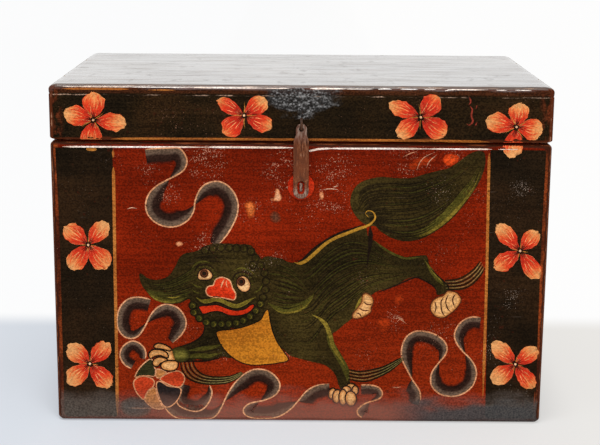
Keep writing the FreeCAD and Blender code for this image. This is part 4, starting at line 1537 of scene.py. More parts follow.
# %% Lion colours
lion_coat = paint("lion_coat", evenly((33, 26, 10), (49, 38, 15), (63, 51, 21)), streak_depth=0.4,
                  fleck_colour=(176, 150, 128))
lion_hair = paint("lion_hair", evenly((46, 43, 14), (66, 60, 21)), streak_depth=0.35)
lion_deep = paint("lion_deep", evenly((26, 19, 9), (38, 29, 13)), streak_depth=0.4)
lion_olive = paint("lion_olive", evenly((62, 57, 19), (86, 78, 27)), streak_depth=0.35)
lion_green = paint("lion_green", evenly((96, 83, 26), (132, 111, 40)), streak_depth=0.35)
hair_khaki = paint("hair_khaki", evenly((100, 88, 46), (134, 118, 68)), streak_depth=0.35)
lion_ink = paint("lion_ink", evenly((24, 15, 10), (38, 26, 16)))
bib_ochre = paint("bib_ochre", evenly((170, 98, 24), (192, 120, 32), (206, 136, 44)), streak_depth=0.3)
face_red = paint("face_red", evenly((172, 38, 12), (202, 50, 20), (214, 72, 36)))
claw_peach = paint("claw_peach", evenly((158, 92, 42), (202, 138, 78), (220, 164, 104)), "rim", 4.0)
eye_white = paint("eye_white", [(0.0, (178, 110, 62)), (0.6, (212, 154, 98)), (1.0, (224, 176, 122))], "rim", 3.0)
eye_brown = paint("eye_brown", evenly((70, 34, 20), (104, 54, 30)))
wrist_olive = paint("wrist_olive", evenly((40, 33, 13), (74, 68, 26), (112, 102, 42)), "rim", 8.0)
spine_gold = paint("spine_gold", evenly((150, 108, 34), (182, 130, 44)), streak_depth=0.25)
print("lion colours:", len([m for m in bpy.data.materials if m.name.startswith("lion_")]),
      "for the coat and its hair")

# %% [markdown]
# ## Body, legs and tail
#
# The silhouette came first: body and hind legs, the front leg and the tail's plume, then the bib and the
# lock of mane over the back. Each is a filled outline through a few turning points.

# %% Body, legs and tail
lion = PaintLayer("lion")
body_outline = [
    (270, 259.7), (281, 258.6), (288.5, 262), (298, 262), (306, 255), (313, 248), (322, 241.5), (331, 236.5),
    (340, 232.6), (352, 228.4), (361.5, 226), (366, 227), (368, 236), (373.4, 240.3), (383, 246.8), (394, 253.2),
    (405, 257), (412, 256.5), (420, 255.5), (426, 255.5), (428, 259), (430, 267), (436.5, 274.3), (442, 280),
    (447, 284), (449, 291), (437.8, 295), (436, 290), (433.9, 286), (428.7, 282), (422.2, 278.9), (414.4, 277),
    (406.6, 279), (398.8, 283.4), (391, 287.3), (383, 289.5), (376, 292), (366, 300), (358, 312), (352, 318.5),
    (344, 324.4), (338, 330), (332.5, 334), (332, 342), (335, 349.7), (340.5, 356.5), (345.5, 364), (348.5, 371),
    (350, 382), (346, 389), (340, 388), (336.4, 377), (333.2, 371.8), (328.6, 367.3), (322, 364), (313, 362),
    (305, 360), (297, 357.8), (289.3, 354.9), (280, 346), (262, 330), (250, 310), (255, 280),
]
front_leg = [
    (205, 323), (204, 331), (202.9, 334.1), (197.6, 339.5), (190, 343.7), (182.7, 346), (176, 347.7), (172, 352),
    (173, 358), (179.5, 361.8), (191, 360.8), (197.6, 359.2), (206, 360.3), (214.7, 358.4), (223, 356.5),
    (232, 357.5), (240, 345), (230, 328), (216, 324),
]
tail_plume = [
    (368.5, 226), (360.8, 221.4), (354.2, 213.7), (350.9, 206), (350.4, 199.4), (353, 190.6), (359.7, 183),
    (369.6, 179), (381.7, 176.9), (396, 178), (411.4, 178), (424.6, 174.1), (437.8, 170.8), (448.8, 168),
    (459.8, 160.9), (469.7, 153.8), (477.4, 151), (483.5, 152), (485.5, 158), (484.6, 167.5), (480.4, 179.6),
    (474, 190.6), (466.4, 201.6), (457.6, 212.6), (447.7, 222.5), (435.6, 231.3), (423.5, 237.9), (409.2, 241.2),
    (398.2, 240.1), (389.4, 236.8), (380.6, 231.3), (375, 226),
]
for outline in (body_outline, front_leg, tail_plume):
    add_shape(lion, outline, lion_coat, 0.2, 4.0)
bib = [
    (217, 331.5), (231.7, 329.3), (242.4, 327.2), (253, 323.5), (260.5, 319.7), (263.7, 314), (266, 310.2),
    (268.5, 310.7), (270.7, 323.5), (273.3, 333), (277.6, 342.7), (283.5, 351.2), (288.3, 360), (278, 363),
    (268, 364.2), (253, 365), (241.3, 362.4), (230.7, 356), (223.2, 348), (218.4, 339.5),
]
add_shape(lion, bib, bib_ochre, 0.3, 4.0)
right_lock = [
    (262, 259), (276, 257.5), (288, 262), (300, 270), (311, 284), (316.5, 296), (308, 308), (293, 314.5),
    (279, 312.5), (268, 305), (262, 285),
]
add_shape(lion, right_lock, lion_coat, 0.26, 3.0)
print("silhouette:", lion.count, "points")

# %% [markdown]
# ## Hair that fans between two guide lines
#
# The coat is combed: hairs run side by side and open like a fan. Two guides bound each tuft, and every hair
# is a mix of the two with its own start and end. The chance in that has a fixed seed.

# %% Guides and hair
guide_samples = 40
fan_order = np.random.default_rng(7)


def hair_between(upper, lower, count, width, trim=0.3):
    share_along = np.linspace(0, 1, guide_samples)
    evened = []
    for guide in (flowing(upper, steps=8), flowing(lower, steps=8)):
        shares = np.linspace(0, 1, len(guide))
        evened.append(np.column_stack([np.interp(share_along, shares, guide[:, k]) for k in (0, 1)]))
    a, b = evened
    made = []
    for number in range(count):
        share = (number + 0.5 + fan_order.uniform(-0.3, 0.3)) / count
        first = int(guide_samples * fan_order.uniform(0, trim))
        last = guide_samples - int(guide_samples * fan_order.uniform(0, trim))
        path = (a * (1 - share) + b * share)[first:last]
        made.append(stroke(path[::4], width * fan_order.uniform(0.7, 1.2), 0.3, 0.5))
    return made


tail_upper = [(360, 205), (368, 188), (388, 182), (410, 183), (432, 177), (455, 169), (478, 154)]
tail_lower = [(376, 224), (388, 234), (408, 239), (428, 233), (448, 219), (466, 198), (482, 166)]
lock_upper = [(264, 263), (277, 262), (291, 267), (303, 279), (312, 294)]
lock_lower = [(268, 302), (276, 309), (287, 311), (299, 307), (310, 299)]
back_upper = [(288, 268), (306, 268), (326, 252), (348, 240), (370, 245), (398, 262), (424, 262)]
back_lower = [(290, 345), (310, 345), (328, 322), (346, 308), (366, 290), (396, 278), (424, 274)]
lobe_upper = [(208, 258), (192, 268), (176, 278), (157, 283), (143, 279)]
lobe_lower = [(198, 297), (186, 298), (171, 300), (158, 297), (146, 288)]
leg_upper = [(226, 334), (208, 338), (195, 345), (180, 350)]
leg_lower = [(226, 352), (210, 355), (195, 356), (180, 358)]
print("hairs follow guides of", guide_samples, "samples")

# %% [markdown]
# ## Hair of the tail, the back and the front leg
#
# A few lighter hairs, many dark ones over them, and two greens along the plume's lower edge make the tail
# look full. Each tuft is one call, so its density is easy to change.

# %% Hair of tail, back and leg
add_strokes(lion, hair_between(tail_upper, tail_lower, 7, 1.4) + hair_between(back_upper, back_lower, 16, 1.6),
            lion_hair, 0.22, 0.06)
add_strokes(lion, hair_between(tail_upper, tail_lower, 18, 1.4) + hair_between(back_upper, back_lower, 20, 1.5)
            + hair_between(leg_upper, leg_lower, 7, 1.3), lion_deep, 0.25, 0.06)
add_strokes(lion, hair_between([(355, 208), (361, 190), (376, 183), (398, 182)],
                               [(370, 222), (384, 231), (398, 235), (414, 236)], 18, 2.6, 0.2),
            lion_deep, 0.215, 0.06)
add_strokes(lion, hair_between([(398, 233), (421, 229), (443, 213), (461, 192), (470, 179), (480, 160)],
                               [(398, 239.4), (424, 235.4), (447.4, 219.4), (466, 198.4), (475.6, 184.6),
                                (484, 163)], 8, 1.7, 0.25), lion_olive, 0.26, 0.06)
add_strokes(lion, hair_between([(412, 237), (428, 231.6), (447.6, 217.4), (465.6, 197.4), (475, 184), (483.4, 164)],
                               [(410, 239.6), (428, 234.4), (449, 220), (467, 199.6), (476.4, 186), (484.6, 165)],
                               3, 1.3, 0.2), lion_green, 0.29, 0.06)
print("with hair:", lion.count, "points")

# %% [markdown]
# ## The lock of mane and the light edges
#
# The lock has its own hair. Broad olive strokes then model the legs, and yellow-green ones along their
# edges catch the light.

# %% Lock and light edges
add_strokes(lion, hair_between(lock_upper, lock_lower, 10, 1.7), lion_hair, 0.3, 0.06)
add_strokes(lion, hair_between(lock_upper, lock_lower, 9, 1.5), lion_deep, 0.32, 0.06)
add_strokes(lion, [
    stroke([(268, 303), (280, 309.6), (295, 309), (306, 303), (314, 294)], 8.0, 0.3, 0.3),
], lion_olive, 0.28, 0.06)
add_strokes(lion, [
    stroke([(322, 320), (328.5, 331), (331.5, 344), (338.5, 356), (345.5, 369), (347.5, 381)], 6.5, 0.3, 0.15),
    stroke([(424, 259), (429.6, 268), (436, 277), (443.6, 285.6)], 4.0, 0.4, 0.2),
    stroke([(374, 240.4), (383, 247.8), (394, 254.2), (405, 258.2), (414, 257.8), (423, 256.8)], 2.4, 0.2, 0.3),
], lion_olive, 0.28, 0.06)
add_strokes(lion, [
    stroke([(184, 357), (198, 355.6), (210, 355.6), (222, 352.4)], 5.0, 0.2, 0.4),
    stroke([(186, 351), (200, 348.8), (213, 347), (224, 343.6)], 4.4, 0.3, 0.4),
], lion_olive, 0.28, 0.06)
add_strokes(lion, [
    stroke([(273, 308), (282, 312.4), (295, 311.6), (305, 306.6), (313, 298)], 2.0, 0.4, 0.4),
    stroke([(426, 262), (431.4, 270), (437.6, 277), (443, 283)], 1.8, 0.4, 0.3),
    stroke([(311.7, 314.6), (319.5, 318.5), (326, 325), (330, 335.4), (332.5, 345.8), (339, 356.2), (346, 368)],
           4.4, 0.3, 0.2),
    stroke([(364, 294), (359, 305), (354, 317)], 5, 0.3, 0.3),
], lion_green, 0.3, 0.08)
print("with light edges:", lion.count, "points")

# %% [markdown]
# ## The head
#
# The head covers the body, so its layers lie higher. Its lobe at the left is combed like the tail and has a
# lit lower edge.

# %% Head
head = [
    (139.6, 273.7), (143, 274.5), (147, 277.7), (153.8, 279.8), (161.7, 279), (168.5, 276), (173, 270.3),
    (176.5, 264), (179.4, 257.9), (184.4, 253.6), (193.5, 251.8), (200.3, 249.4), (207, 245.2), (216, 243.4),
    (227.5, 243.7), (238.8, 244.3), (247.9, 244.5), (252.4, 246.8), (255.8, 252.2), (260.3, 257.9), (266, 262),
    (269.4, 270.3), (270, 281.7), (268.3, 293), (266, 304.3), (262.6, 313.4), (258, 320.2), (249, 325),
    (237.7, 327.6), (226.3, 328), (216, 327), (207, 323.5), (198, 319.5), (192.3, 313.4), (190, 306.6),
    (190, 299.5), (186.7, 299.8), (180, 303), (169.7, 303.8), (160.6, 302), (151.5, 297.5), (147, 291.9),
    (142.5, 286.2), (139.8, 279.4),
]
add_shape(lion, head, lion_coat, 0.36, 3.0)
add_strokes(lion, [
    stroke([(146, 288), (156, 295), (168, 298), (180, 297), (190, 292)], 8.5, 0.3, 0.3),
] + hair_between(lobe_upper, lobe_lower, 11, 1.7), lion_hair, 0.38, 0.06)
add_strokes(lion, hair_between(lobe_upper, lobe_lower, 11, 1.5)
            + hair_between([(186, 258), (200, 254), (222, 252), (246, 252)],
                           [(196, 266), (210, 262), (228, 264), (250, 268)], 7, 1.4), lion_deep, 0.4, 0.06)
add_strokes(lion, [
    stroke([(147, 291), (155, 297.6), (166, 300.6), (178, 300.4), (189, 296)], 4.6, 0.3, 0.3),
], lion_olive, 0.42, 0.06)
add_strokes(lion, [
    stroke([(150, 295), (158, 300), (168, 302.2), (178, 301.6)], 1.8, 0.3, 0.4),
    stroke([(166, 297), (174, 297.6), (182, 295.4)], 1.2, 0.3, 0.4),
], lion_green, 0.46, 0.06)
print("with the head:", lion.count, "points")

# %% [markdown]
# ## Curls of mane and beard
#
# Mane and beard are rows of round curls: a disc, a dark ring and a short lighter arc inside. A loop over
# their centres paints them all alike.

# %% Curls
def curl(cx, cy, radius):
    return ring(cx, cy, radius, radius, 10)


mane_curls = [
    (213, 248.5), (221, 247.6), (229, 247.6), (236.5, 248), (244, 248.4), (251, 251.4), (255.6, 258), (253, 265),
    (260.6, 265.4), (264.6, 273), (266, 281), (265.4, 289.5), (263, 297.5), (205, 250.4),
]
beard_curls = [
    (192.8, 305.4), (194.2, 312), (199.6, 318), (206.6, 322), (213.8, 324), (221.6, 323.8), (229, 323.6),
    (236.4, 322.6), (243.4, 320.2), (250, 316.4), (256, 310.6), (260.6, 304),
]
for curls, finish in ((mane_curls, lion_coat), (beard_curls, lion_hair)):
    for cx, cy in curls:
        add_shape(lion, curl(cx, cy, 3.9), finish, 0.44, 2.0, 3)
    add_strokes(lion, [stroke(curl(cx, cy, 3.7), 1.3, closed=True) for cx, cy in curls], lion_deep, 0.46, 0.06, 1.0)
    arcs = [stroke(curl(cx - 0.4, cy + 0.4, 1.9)[:7], 0.9, 0.2, 0.4) for cx, cy in curls]
    add_strokes(lion, arcs, lion_green if finish is lion_hair else lion_hair, 0.46, 0.06, 1.0)
print("curls:", len(mane_curls), "in the mane and", len(beard_curls), "in the beard")

# %% [markdown]
# ## Nose, mouth and eyes
#
# The face is red and white, with brown eyes in dark rings and short lashes. The shapes go on from the
# largest to the smallest, each a little higher than the one under it.

# %% Nose, mouth and eyes
nose = [
    (222.9, 277.3), (229.7, 280.5), (232.6, 288), (235.8, 294.1), (234.3, 299.5), (228.6, 298.9), (220.7, 297.5),
    (213.9, 297), (208.2, 295.3), (206, 290.7), (208.2, 286.4), (213.3, 285), (215, 280.5), (218.4, 277.9),
]
mouth = [
    (199.3, 306.3), (209.3, 305.2), (217.3, 304.6), (226.3, 308), (235.4, 310.3), (244.5, 309), (250.1, 305.2),
    (254, 304.4), (253.5, 307.9), (247.9, 312.8), (238.8, 315.5), (228.6, 315), (220.7, 311.7), (212.7, 311.5),
    (203.7, 313.8), (200.3, 310),
]
left_eye = [
    (197.6, 276.4), (199.4, 271), (204, 268.4), (209.4, 270.2), (212.8, 275.4), (210, 279.4), (204, 280),
    (199, 279.4),
]
right_eye = [
    (236.4, 283), (238, 278), (242.6, 275.8), (247.6, 278.2), (250.6, 284.4), (249, 290), (244, 292), (238.6, 289),
]
lip = [
    (196, 297.4), (202.5, 301), (208.7, 300.8), (214.6, 299.4), (220.5, 300.2), (228.8, 304), (236, 306),
    (242, 304.4), (248, 301), (255.4, 297),
]
add_shape(lion, nose, face_red, 0.48, 2.0)
add_shape(lion, mouth, face_red, 0.48, 2.0)
for eye, (px, py) in ((left_eye, (204.2, 273.4)), (right_eye, (241.2, 281.6))):
    add_shape(lion, eye, eye_white, 0.48, 2.0)
    add_shape(lion, curl(px, py, 4.4), eye_brown, 0.54, 2.0, 3)
    add_shape(lion, curl(px, py, 2.2), lion_ink, 0.58, 2.0, 3)
    add_strokes(lion, [stroke(curl(px, py, 3.3), 0.7, closed=True)], lion_ink, 0.56, 0.04, 1.0)
    lashes = []
    for a in np.linspace(2.5, 6.9, 12):
        root = (px + 1 + 8.4 * math.cos(a), py + 1 + 7.6 * math.sin(a))
        tip = (px + 1.4 + 11.6 * math.cos(a), py + 1 + 10.4 * math.sin(a))
        lashes.append(stroke([root, tip], 0.9, 0.1, 0.5))
    add_strokes(lion, lashes, lion_olive, 0.46, 0.05, 1.0)
print("with the face:", lion.count, "points")

# %% [markdown]
# ## Lines of the face
#
# Dark lines close the shapes, a green lip lies between two of them, olive wrinkles frame the eyes and pale
# lines edge the nose. They come last because they cover the rims.

# %% Lines of the face
add_strokes(lion, [stroke(lip, 4.4, 0.15, 0.15)], lion_green, 0.46, 0.1)
add_strokes(lion, [
    stroke([(x, y - 2.9) for x, y in lip], 1.1, 0.2, 0.2),
    stroke([(x, y + 2.9) for x, y in lip], 1.3, 0.2, 0.2),
    stroke(mouth, 1.1, closed=True),
    stroke(left_eye, 1.2, closed=True),
    stroke(right_eye, 1.2, closed=True),
    stroke([(194, 273), (197, 267), (204, 264.6), (212, 267), (216, 273)], 1.4, 0.2, 0.3),
    stroke([(232.6, 283), (234.6, 275), (242, 271.8), (250.6, 275), (255, 283)], 1.4, 0.2, 0.3),
], lion_ink, 0.52, 0.06, 1.0)
add_strokes(lion, [
    stroke([(191, 270), (196, 263.6), (204, 261.4), (213, 263.4)], 1.8, 0.3, 0.4),
    stroke([(233, 271), (241, 268), (250, 270.6), (257, 277)], 1.8, 0.3, 0.4),
    stroke([(191.6, 283), (197, 286.4), (203.6, 287)], 1.6, 0.3, 0.4),
    stroke([(254, 293), (260, 289), (263, 283)], 1.6, 0.3, 0.4),
    stroke([(192, 289), (196, 292.4), (202, 293.4)], 1.4, 0.3, 0.4),
], lion_olive, 0.46, 0.06)
add_strokes(lion, [
    stroke(nose, 1.2, closed=True),
    stroke([(224.4, 279), (222, 284), (220.7, 288.5)], 1.4, 0.3, 0.4),
    stroke([(226.6, 280), (226.4, 284), (227.6, 288)], 0.9, 0.3, 0.4),
], ribbon_edge, 0.52, 0.06, 1.0)
print("with its lines:", lion.count, "points")

# %% [markdown]
# ## Spine and outlines
#
# A golden line runs down the back and curls up at the root of the tail, and dark lines set the legs off
# from the red. All are strokes, drawn over the hair.

# %% Spine and outlines
spine = [
    (294, 262.2), (299, 263.5), (305.5, 261), (313, 255), (319.5, 249), (327, 242.5), (337, 237), (347.5, 233),
    (358, 229), (365.5, 226.6), (371.5, 223), (375.3, 217.5), (373, 212), (368, 210.8), (365.4, 213.6),
    (368.5, 217),
]
add_strokes(lion, [stroke(spine, 3.4, 0.1, 0.55)], spine_gold, 0.32, 0.1)
add_strokes(lion, [
    stroke([(296, 260.4), (301, 260.6), (307, 255.5), (313, 249.6), (322, 243), (331, 237.4), (341, 232.6),
            (352, 228.8), (364, 224)], 2.4, 0.2, 0.2),
    stroke([(370, 226), (370.5, 238), (369, 252), (366.6, 268)], 4.6, 0.2, 0.6),
    stroke(bib, 1.1, closed=True),
    stroke([(204.6, 325), (203.4, 333), (198, 339), (190, 343.4), (177, 347.2)], 1.4, 0.2, 0.2),
    stroke([(179.5, 362.2), (191, 361.2), (206, 360.8), (215, 358.8), (224, 357)], 1.6, 0.2, 0.2),
    stroke([(430, 268), (436.8, 275), (447, 284.6), (449.4, 291)], 1.4, 0.2, 0.2),
    stroke([(437.4, 294), (434, 286.6), (422.4, 279.4), (414.4, 277.6), (399, 284), (384, 290), (377, 292.4)],
           1.4, 0.2, 0.2),
], lion_ink, 0.34, 0.06)
print("with outlines:", lion.count, "points")

# %% [markdown]
# ## Loose hair
#
# Three bundles of long hair stream from the legs. Dark and light hairs lie evenly between two guides,
# because chance would make them cross.

# %% Loose hair
hair_bundles = [
    ([(180.5, 362.5), (182.5, 371), (188, 378), (198, 382.6), (212, 384.2), (228, 382.6), (238, 377.6),
      (243, 373.5)],
     [(193, 361.5), (195, 367.5), (200.5, 373), (208, 376), (218, 377), (230, 376.2), (237, 373.8), (241, 371.6)]),
    ([(445, 280.4), (457, 279.4), (467, 274.6), (475, 268), (480.4, 260.6)],
     [(446, 289.6), (461, 289), (471, 285), (480, 276), (485, 268)]),
    ([(346, 369), (360.7, 371.4), (380.6, 367.6), (392, 362.5), (403, 356.6)],
     [(347.6, 379.4), (365, 381.4), (378, 377.2), (390, 370.8), (404, 359.8)]),
]
dark_hairs, light_hairs = [], []
for guides in hair_bundles:
    first, last = (painted_line(guide) for guide in guides)
    press = np.interp(np.linspace(0, 1, len(first)), (0, 0.1, 0.85, 1), (0.7, 1, 0.95, 0.3))
    for share in (0, 1 / 3, 2 / 3, 1):
        dark_hairs.append((first * (1 - share) + last * share, press * 0.85 * pixel))
    for share in (1 / 6, 1 / 2, 5 / 6):
        light_hairs.append((first * (1 - share) + last * share, press * 0.4 * pixel))
add_strokes(lion, dark_hairs, lion_deep, 0.16, 0.06)
add_strokes(lion, light_hairs, hair_khaki, 0.2, 0.06)
print("loose hairs:", len(dark_hairs), "dark and", len(light_hairs), "light")

# %% [markdown]
# ## Paws
#
# Toes and pads are peach ovals with dark outlines, lighter towards the middle. They overlap like scales, so
# each toe lies a little higher than the last. Then the lion dries onto the board.

# %% Paws
def toe(cx, cy, rx, ry, lean=0.0):
    c, s = math.cos(math.radians(lean)), math.sin(math.radians(lean))
    oval = [(rx * math.cos(a), ry * math.sin(a)) for a in np.arange(10) * math.pi / 5]
    return [(cx + x * c - y * s, cy + x * s + y * c) for x, y in oval]


wrist = toe(180, 354.6, 10.5, 8.0)
add_shape(lion, wrist, wrist_olive, 0.36, 2.0, 3)
right_paw = [
    (447.4, 291), (453, 291.4), (457.6, 293.4), (461, 300), (456.5, 308.2), (450.5, 313.3), (443.4, 317.6),
    (435.3, 316.3), (430.4, 309.2), (432.2, 301.4), (438.3, 297), (443, 295.6),
]
inner_paw = [
    (366.3, 293), (371.6, 296.4), (373.4, 302), (371.4, 307.2), (370.4, 312.3), (362.3, 317.3), (354.2, 318.4),
    (352.4, 314.3), (357.2, 308.2), (361.3, 302.1), (362.7, 295),
]
palm = [(164.5, 350.4), (170.6, 348.4), (173, 354), (174.6, 361), (167.7, 361), (163.5, 356.3)]
digits = [
    [(153.6, 346), (158, 343.2), (165.3, 344.8), (171.4, 348.8), (170, 351), (166, 350), (161.4, 348.8),
     (156, 348.4)],
    [(148.6, 354.6), (152, 350), (159.2, 349.6), (166.4, 352), (168.5, 357), (166, 357.6), (160.5, 355.4),
     (154.8, 356.4), (150.4, 358.4)],
    [(152.4, 363.2), (154.4, 358.9), (160.3, 356.9), (167, 359), (166, 362), (160.8, 363), (158.4, 366),
     (154.4, 366)],
    [(160.8, 365), (163.8, 361.6), (171, 360.2), (177.2, 361.4), (178.2, 365.8), (175, 370), (168.8, 370.8),
     (162.6, 369)],
    toe(332.2, 393.4, 3.8, 5.6, 12), toe(336.8, 396.2, 4.3, 6.8, 8), toe(343, 397.2, 4.2, 8.0, 0),
    toe(350.8, 398.4, 5.6, 7.6, -6), toe(346.4, 389.6, 4.6, 3.8, 0), toe(351.4, 386.4, 4.6, 3.2, 10),
    toe(355.2, 390, 3.2, 4.4, 0),
]
add_shape(lion, palm, claw_peach, 0.38, 2.0, 4)
for group in (digits[:4], [digits[i] for i in (9, 8, 10, 4, 5, 6, 7)], [right_paw], [inner_paw]):
    for layer_number, outline in enumerate(group):
        add_shape(lion, outline, claw_peach, 0.4 + 0.05 * layer_number, 2.0, 4)
        soft = outline in (right_paw, inner_paw)
        line = stroke(outline, 1.0 if soft else 1.4, closed=True)
        add_strokes(lion, [line], eye_brown if soft else lion_ink, 0.41 + 0.05 * layer_number, 0.02, 1.0)
creases = [
    [(444.2, 296.6), (441, 302), (441.8, 311), (445, 316.6)],
    [(449, 293.6), (445.8, 301), (447.4, 308), (451, 312.4)],
    [(455.6, 293.6), (452.6, 299.6), (454.6, 307.6)],
    [(434.6, 301), (436, 307), (434.6, 313)],
    [(363, 301.6), (367.6, 304.6), (372, 304)],
    [(358.6, 307.6), (364, 310.6), (370, 309.8)],
    [(355.8, 312.4), (359.6, 314), (361.4, 317)],
    [(160.6, 366), (162.6, 363), (166.6, 362.4), (169, 364.4)],
]
add_strokes(lion, [stroke(line, 1.3, 0.2, 0.2) for line in creases], eye_brown, 0.43, 0.06, 1.0)
lion.dry("trunk", body_shell)

# %% [markdown]
# ## Chips and scratches
#
# Some losses are too particular for noise: a peach chip beside the hasp, a touched-up patch, curved
# scratches above the tail. They are drawn like the figures. These are their colours, most of them running
# from rim to middle.

# %% Colours of the losses
chip_peach = paint("chip_peach", evenly((150, 74, 42), (206, 132, 88), (226, 164, 122)), "rim", 2.5)
touch_up = paint("touch_up", evenly((114, 31, 8), (132, 38, 9), (150, 46, 12)), "rim", 5.0, 0.4)
bright_patch = paint("bright_patch", [(0.0, (140, 38, 10)), (0.4, (184, 56, 16)), (1.0, (200, 66, 22))], "rim", 4.0,
                     0.4)
orange_patch = paint("orange_patch", evenly((126, 38, 10), (172, 74, 28), (202, 106, 50)), "rim", 4.5, 0.4)
grey_scuff = paint("grey_scuff", evenly((108, 36, 14), (96, 54, 36)), "rim", 4.0, 0.4)
blue_smear = paint("blue_smear", [(0.0, (104, 44, 26)), (0.4, (78, 60, 52)), (1.0, (54, 54, 54))], "rim", 8.0, 0.4)
scratch_pale = paint("scratch_pale", evenly((176, 120, 88), (222, 178, 148)))
print("colours of the losses:", [m.name for m in (chip_peach, touch_up, bright_patch, orange_patch, grey_scuff,
                                                  blue_smear, scratch_pale)])

# %% [markdown]
# ## Where the paint was lost
#
# Each patch is an outline with its colour, and each scratch a thin line that fades at both ends. They lie
# lower than the figures, because they belong to the ground.

# %% Chips and scratches
losses = PaintLayer("chips_and_scratches")
for finish, outline in (
    (chip_peach, [(276, 188.5), (279.2, 189.5), (280, 193.5), (281.8, 197), (280.4, 200.6), (276.5, 201.4),
                  (271, 200.2), (270.8, 198.4), (274, 197.2), (275, 193)]),
    (chip_peach, [(319.4, 192.6), (322.6, 192), (324, 196), (322.6, 199.6), (320, 198.6)]),
    (orange_patch, [(244, 204), (250, 200.4), (255, 203.5), (256, 209), (254, 216), (249, 219), (246, 212)]),
    (grey_scuff, [(270, 215), (274, 211), (279, 213.6), (281, 220), (276, 223), (271, 220.4)]),
    (blue_smear, [(121, 403), (130, 397), (144, 398), (151, 405), (150, 413), (140, 417), (128, 416), (122, 411)]),
    (bright_patch, [(444, 156), (452, 153.8), (459, 156.4), (457.4, 162.4), (450, 166), (443.6, 163)]),
    (chip_peach, [(175.6, 243.6), (178.4, 241.4), (182.4, 242.4), (182.8, 245), (178, 246.4)]),
    (touch_up, [(408, 166), (417, 158), (428, 156.6), (436, 160), (424, 166), (412, 170)]),
    (touch_up, [(395, 296), (402, 294), (404, 300), (399, 306), (394, 302)]),
    (touch_up, [(376, 320), (386, 317), (392, 324), (386, 333), (378, 330)]),
):
    add_shape(losses, outline, finish, 0.08, 2.5)
add_strokes(losses, [stroke(line, 0.8, 0.3, 0.3) for line in (
    [(402.8, 157.2), (410, 153.5), (417, 151.5)],
    [(417, 170.4), (419, 164), (424, 157.5), (433.2, 152.8)],
    [(426, 168), (430, 160.6), (437, 154.6)],
    [(395, 315.4), (401, 319.6), (406.6, 324)],
    [(397, 322), (401, 318.4), (403.6, 320.6)],
    [(392, 387), (396.6, 387.6), (401, 386.8)],
    [(128, 408), (141, 408.2), (158, 408)],
    [(322.6, 189.6), (330, 188.8), (338, 189.6)],
    [(333, 187), (338.4, 185.8)],
    [(285.6, 188), (289, 186.2), (293, 185.4)],
    [(127, 209), (132, 207.6), (137, 208.6)],
)], scratch_pale, 0.1, 0.05)
losses.dry("trunk", body_shell)

# %% [markdown]
# ## Painted highlights on the rims
#
# Where the lamp's highlight falls along the rounded rims of the lid and the body, a thin pale line is painted: a
# painted highlight. On the lid it is broken, on the body it is nearly whole. Both are brush strokes again, drawn on
# the rounded edges.

# %% Painted rim highlights
# Painted highlight: near-white paint stands in for the lamp's reflection on the rims.
wear_and_highlight = paint("painted_rim_highlight", evenly((214, 182, 158), (246, 228, 214), (255, 248, 240)), fleck_amount=0.5,
               specular=0.4)
scuff_red = paint("scuff_red", evenly((98, 36, 24), (148, 56, 42)), fleck_amount=1.5)
body_rim = PaintLayer("body_rim_rubbed")
add_strokes(body_rim, [stroke(line, width, 0.1, 0.15) for line, width in (
    ([(62, 146.6), (90, 146.8), (150, 147), (215, 147.2)], 1.5),
    ([(205, 147.1), (250, 147.4), (296, 147.8)], 1.9),
    ([(308, 151.2), (314, 150), (320, 148.9), (334, 148.4)], 1.9),
    ([(326, 148.5), (380, 148.6), (430, 148.9)], 1.7),
    ([(425, 148.9), (470, 149.1), (492, 149.3)], 1.3),
    ([(498, 149.4), (520, 149.6)], 0.8),
)], wear_and_highlight, 0.12, 0.08)
body_rim.dry("trunk", body_shell)
lid_rim = PaintLayer("lid_rim_rubbed")
add_strokes(lid_rim, [stroke(line, width, 0.15, 0.2) for line, width in (
    ([(62, 86), (72, 86.4), (80, 86.2)], 0.9),
    ([(76, 86.3), (104, 86.4), (136, 86.7)], 1.4),
    ([(128, 86.7), (160, 87), (196, 87.2)], 1.1),
    ([(188, 87.2), (226, 87.5), (268, 88)], 1.7),
    ([(262, 88), (278, 88.2), (290, 88.3)], 1.0),
    ([(310, 88.5), (328, 88.4), (348, 88.6)], 1.8),
    ([(344, 88.6), (362, 88.9), (374, 88.8)], 1.0),
    ([(378, 89.2), (384, 88.6), (392, 89.1)], 1.3),
    ([(400, 89), (418, 89.3)], 0.8),
    ([(424, 89.5), (436, 89.4)], 0.7),
    ([(445, 91), (452, 89.5), (468, 89.7), (488, 89.8)], 1.1),
    ([(496, 90), (507, 90.3)], 0.7),
    ([(515, 90.1), (532, 90.6)], 0.7),
)], wear_and_highlight, 0.12, 0.08)
# Red scuffs on the lid front are real wear; they share the layer with the painted highlight.
add_strokes(lid_rim, [
    stroke([(469.4, 97), (470.8, 102), (468.6, 105)], 1.6, 0.2, 0.4),
    stroke([(470, 106), (472.2, 109.6), (471.4, 115.4), (472.8, 121.6), (469, 125.2), (466.6, 123.6)],
           1.7, 0.2, 0.4),
    stroke([(477, 105), (476, 109)], 1.0, 0.3, 0.3),
    stroke([(477.4, 122), (475, 126)], 1.0, 0.3, 0.3),
], scuff_red, 0.1, 0.05)
lid_rim.dry("lid", lid_shell)

# %% [markdown]
# ## The ball
#
# The lion plays with a ball of brocade: six panels that meet at a hub, each in its own colour, with pale
# seams between them. The panels are not alike, so they are drawn one by one, and each seam is a stroke
# along the outline of its panel.

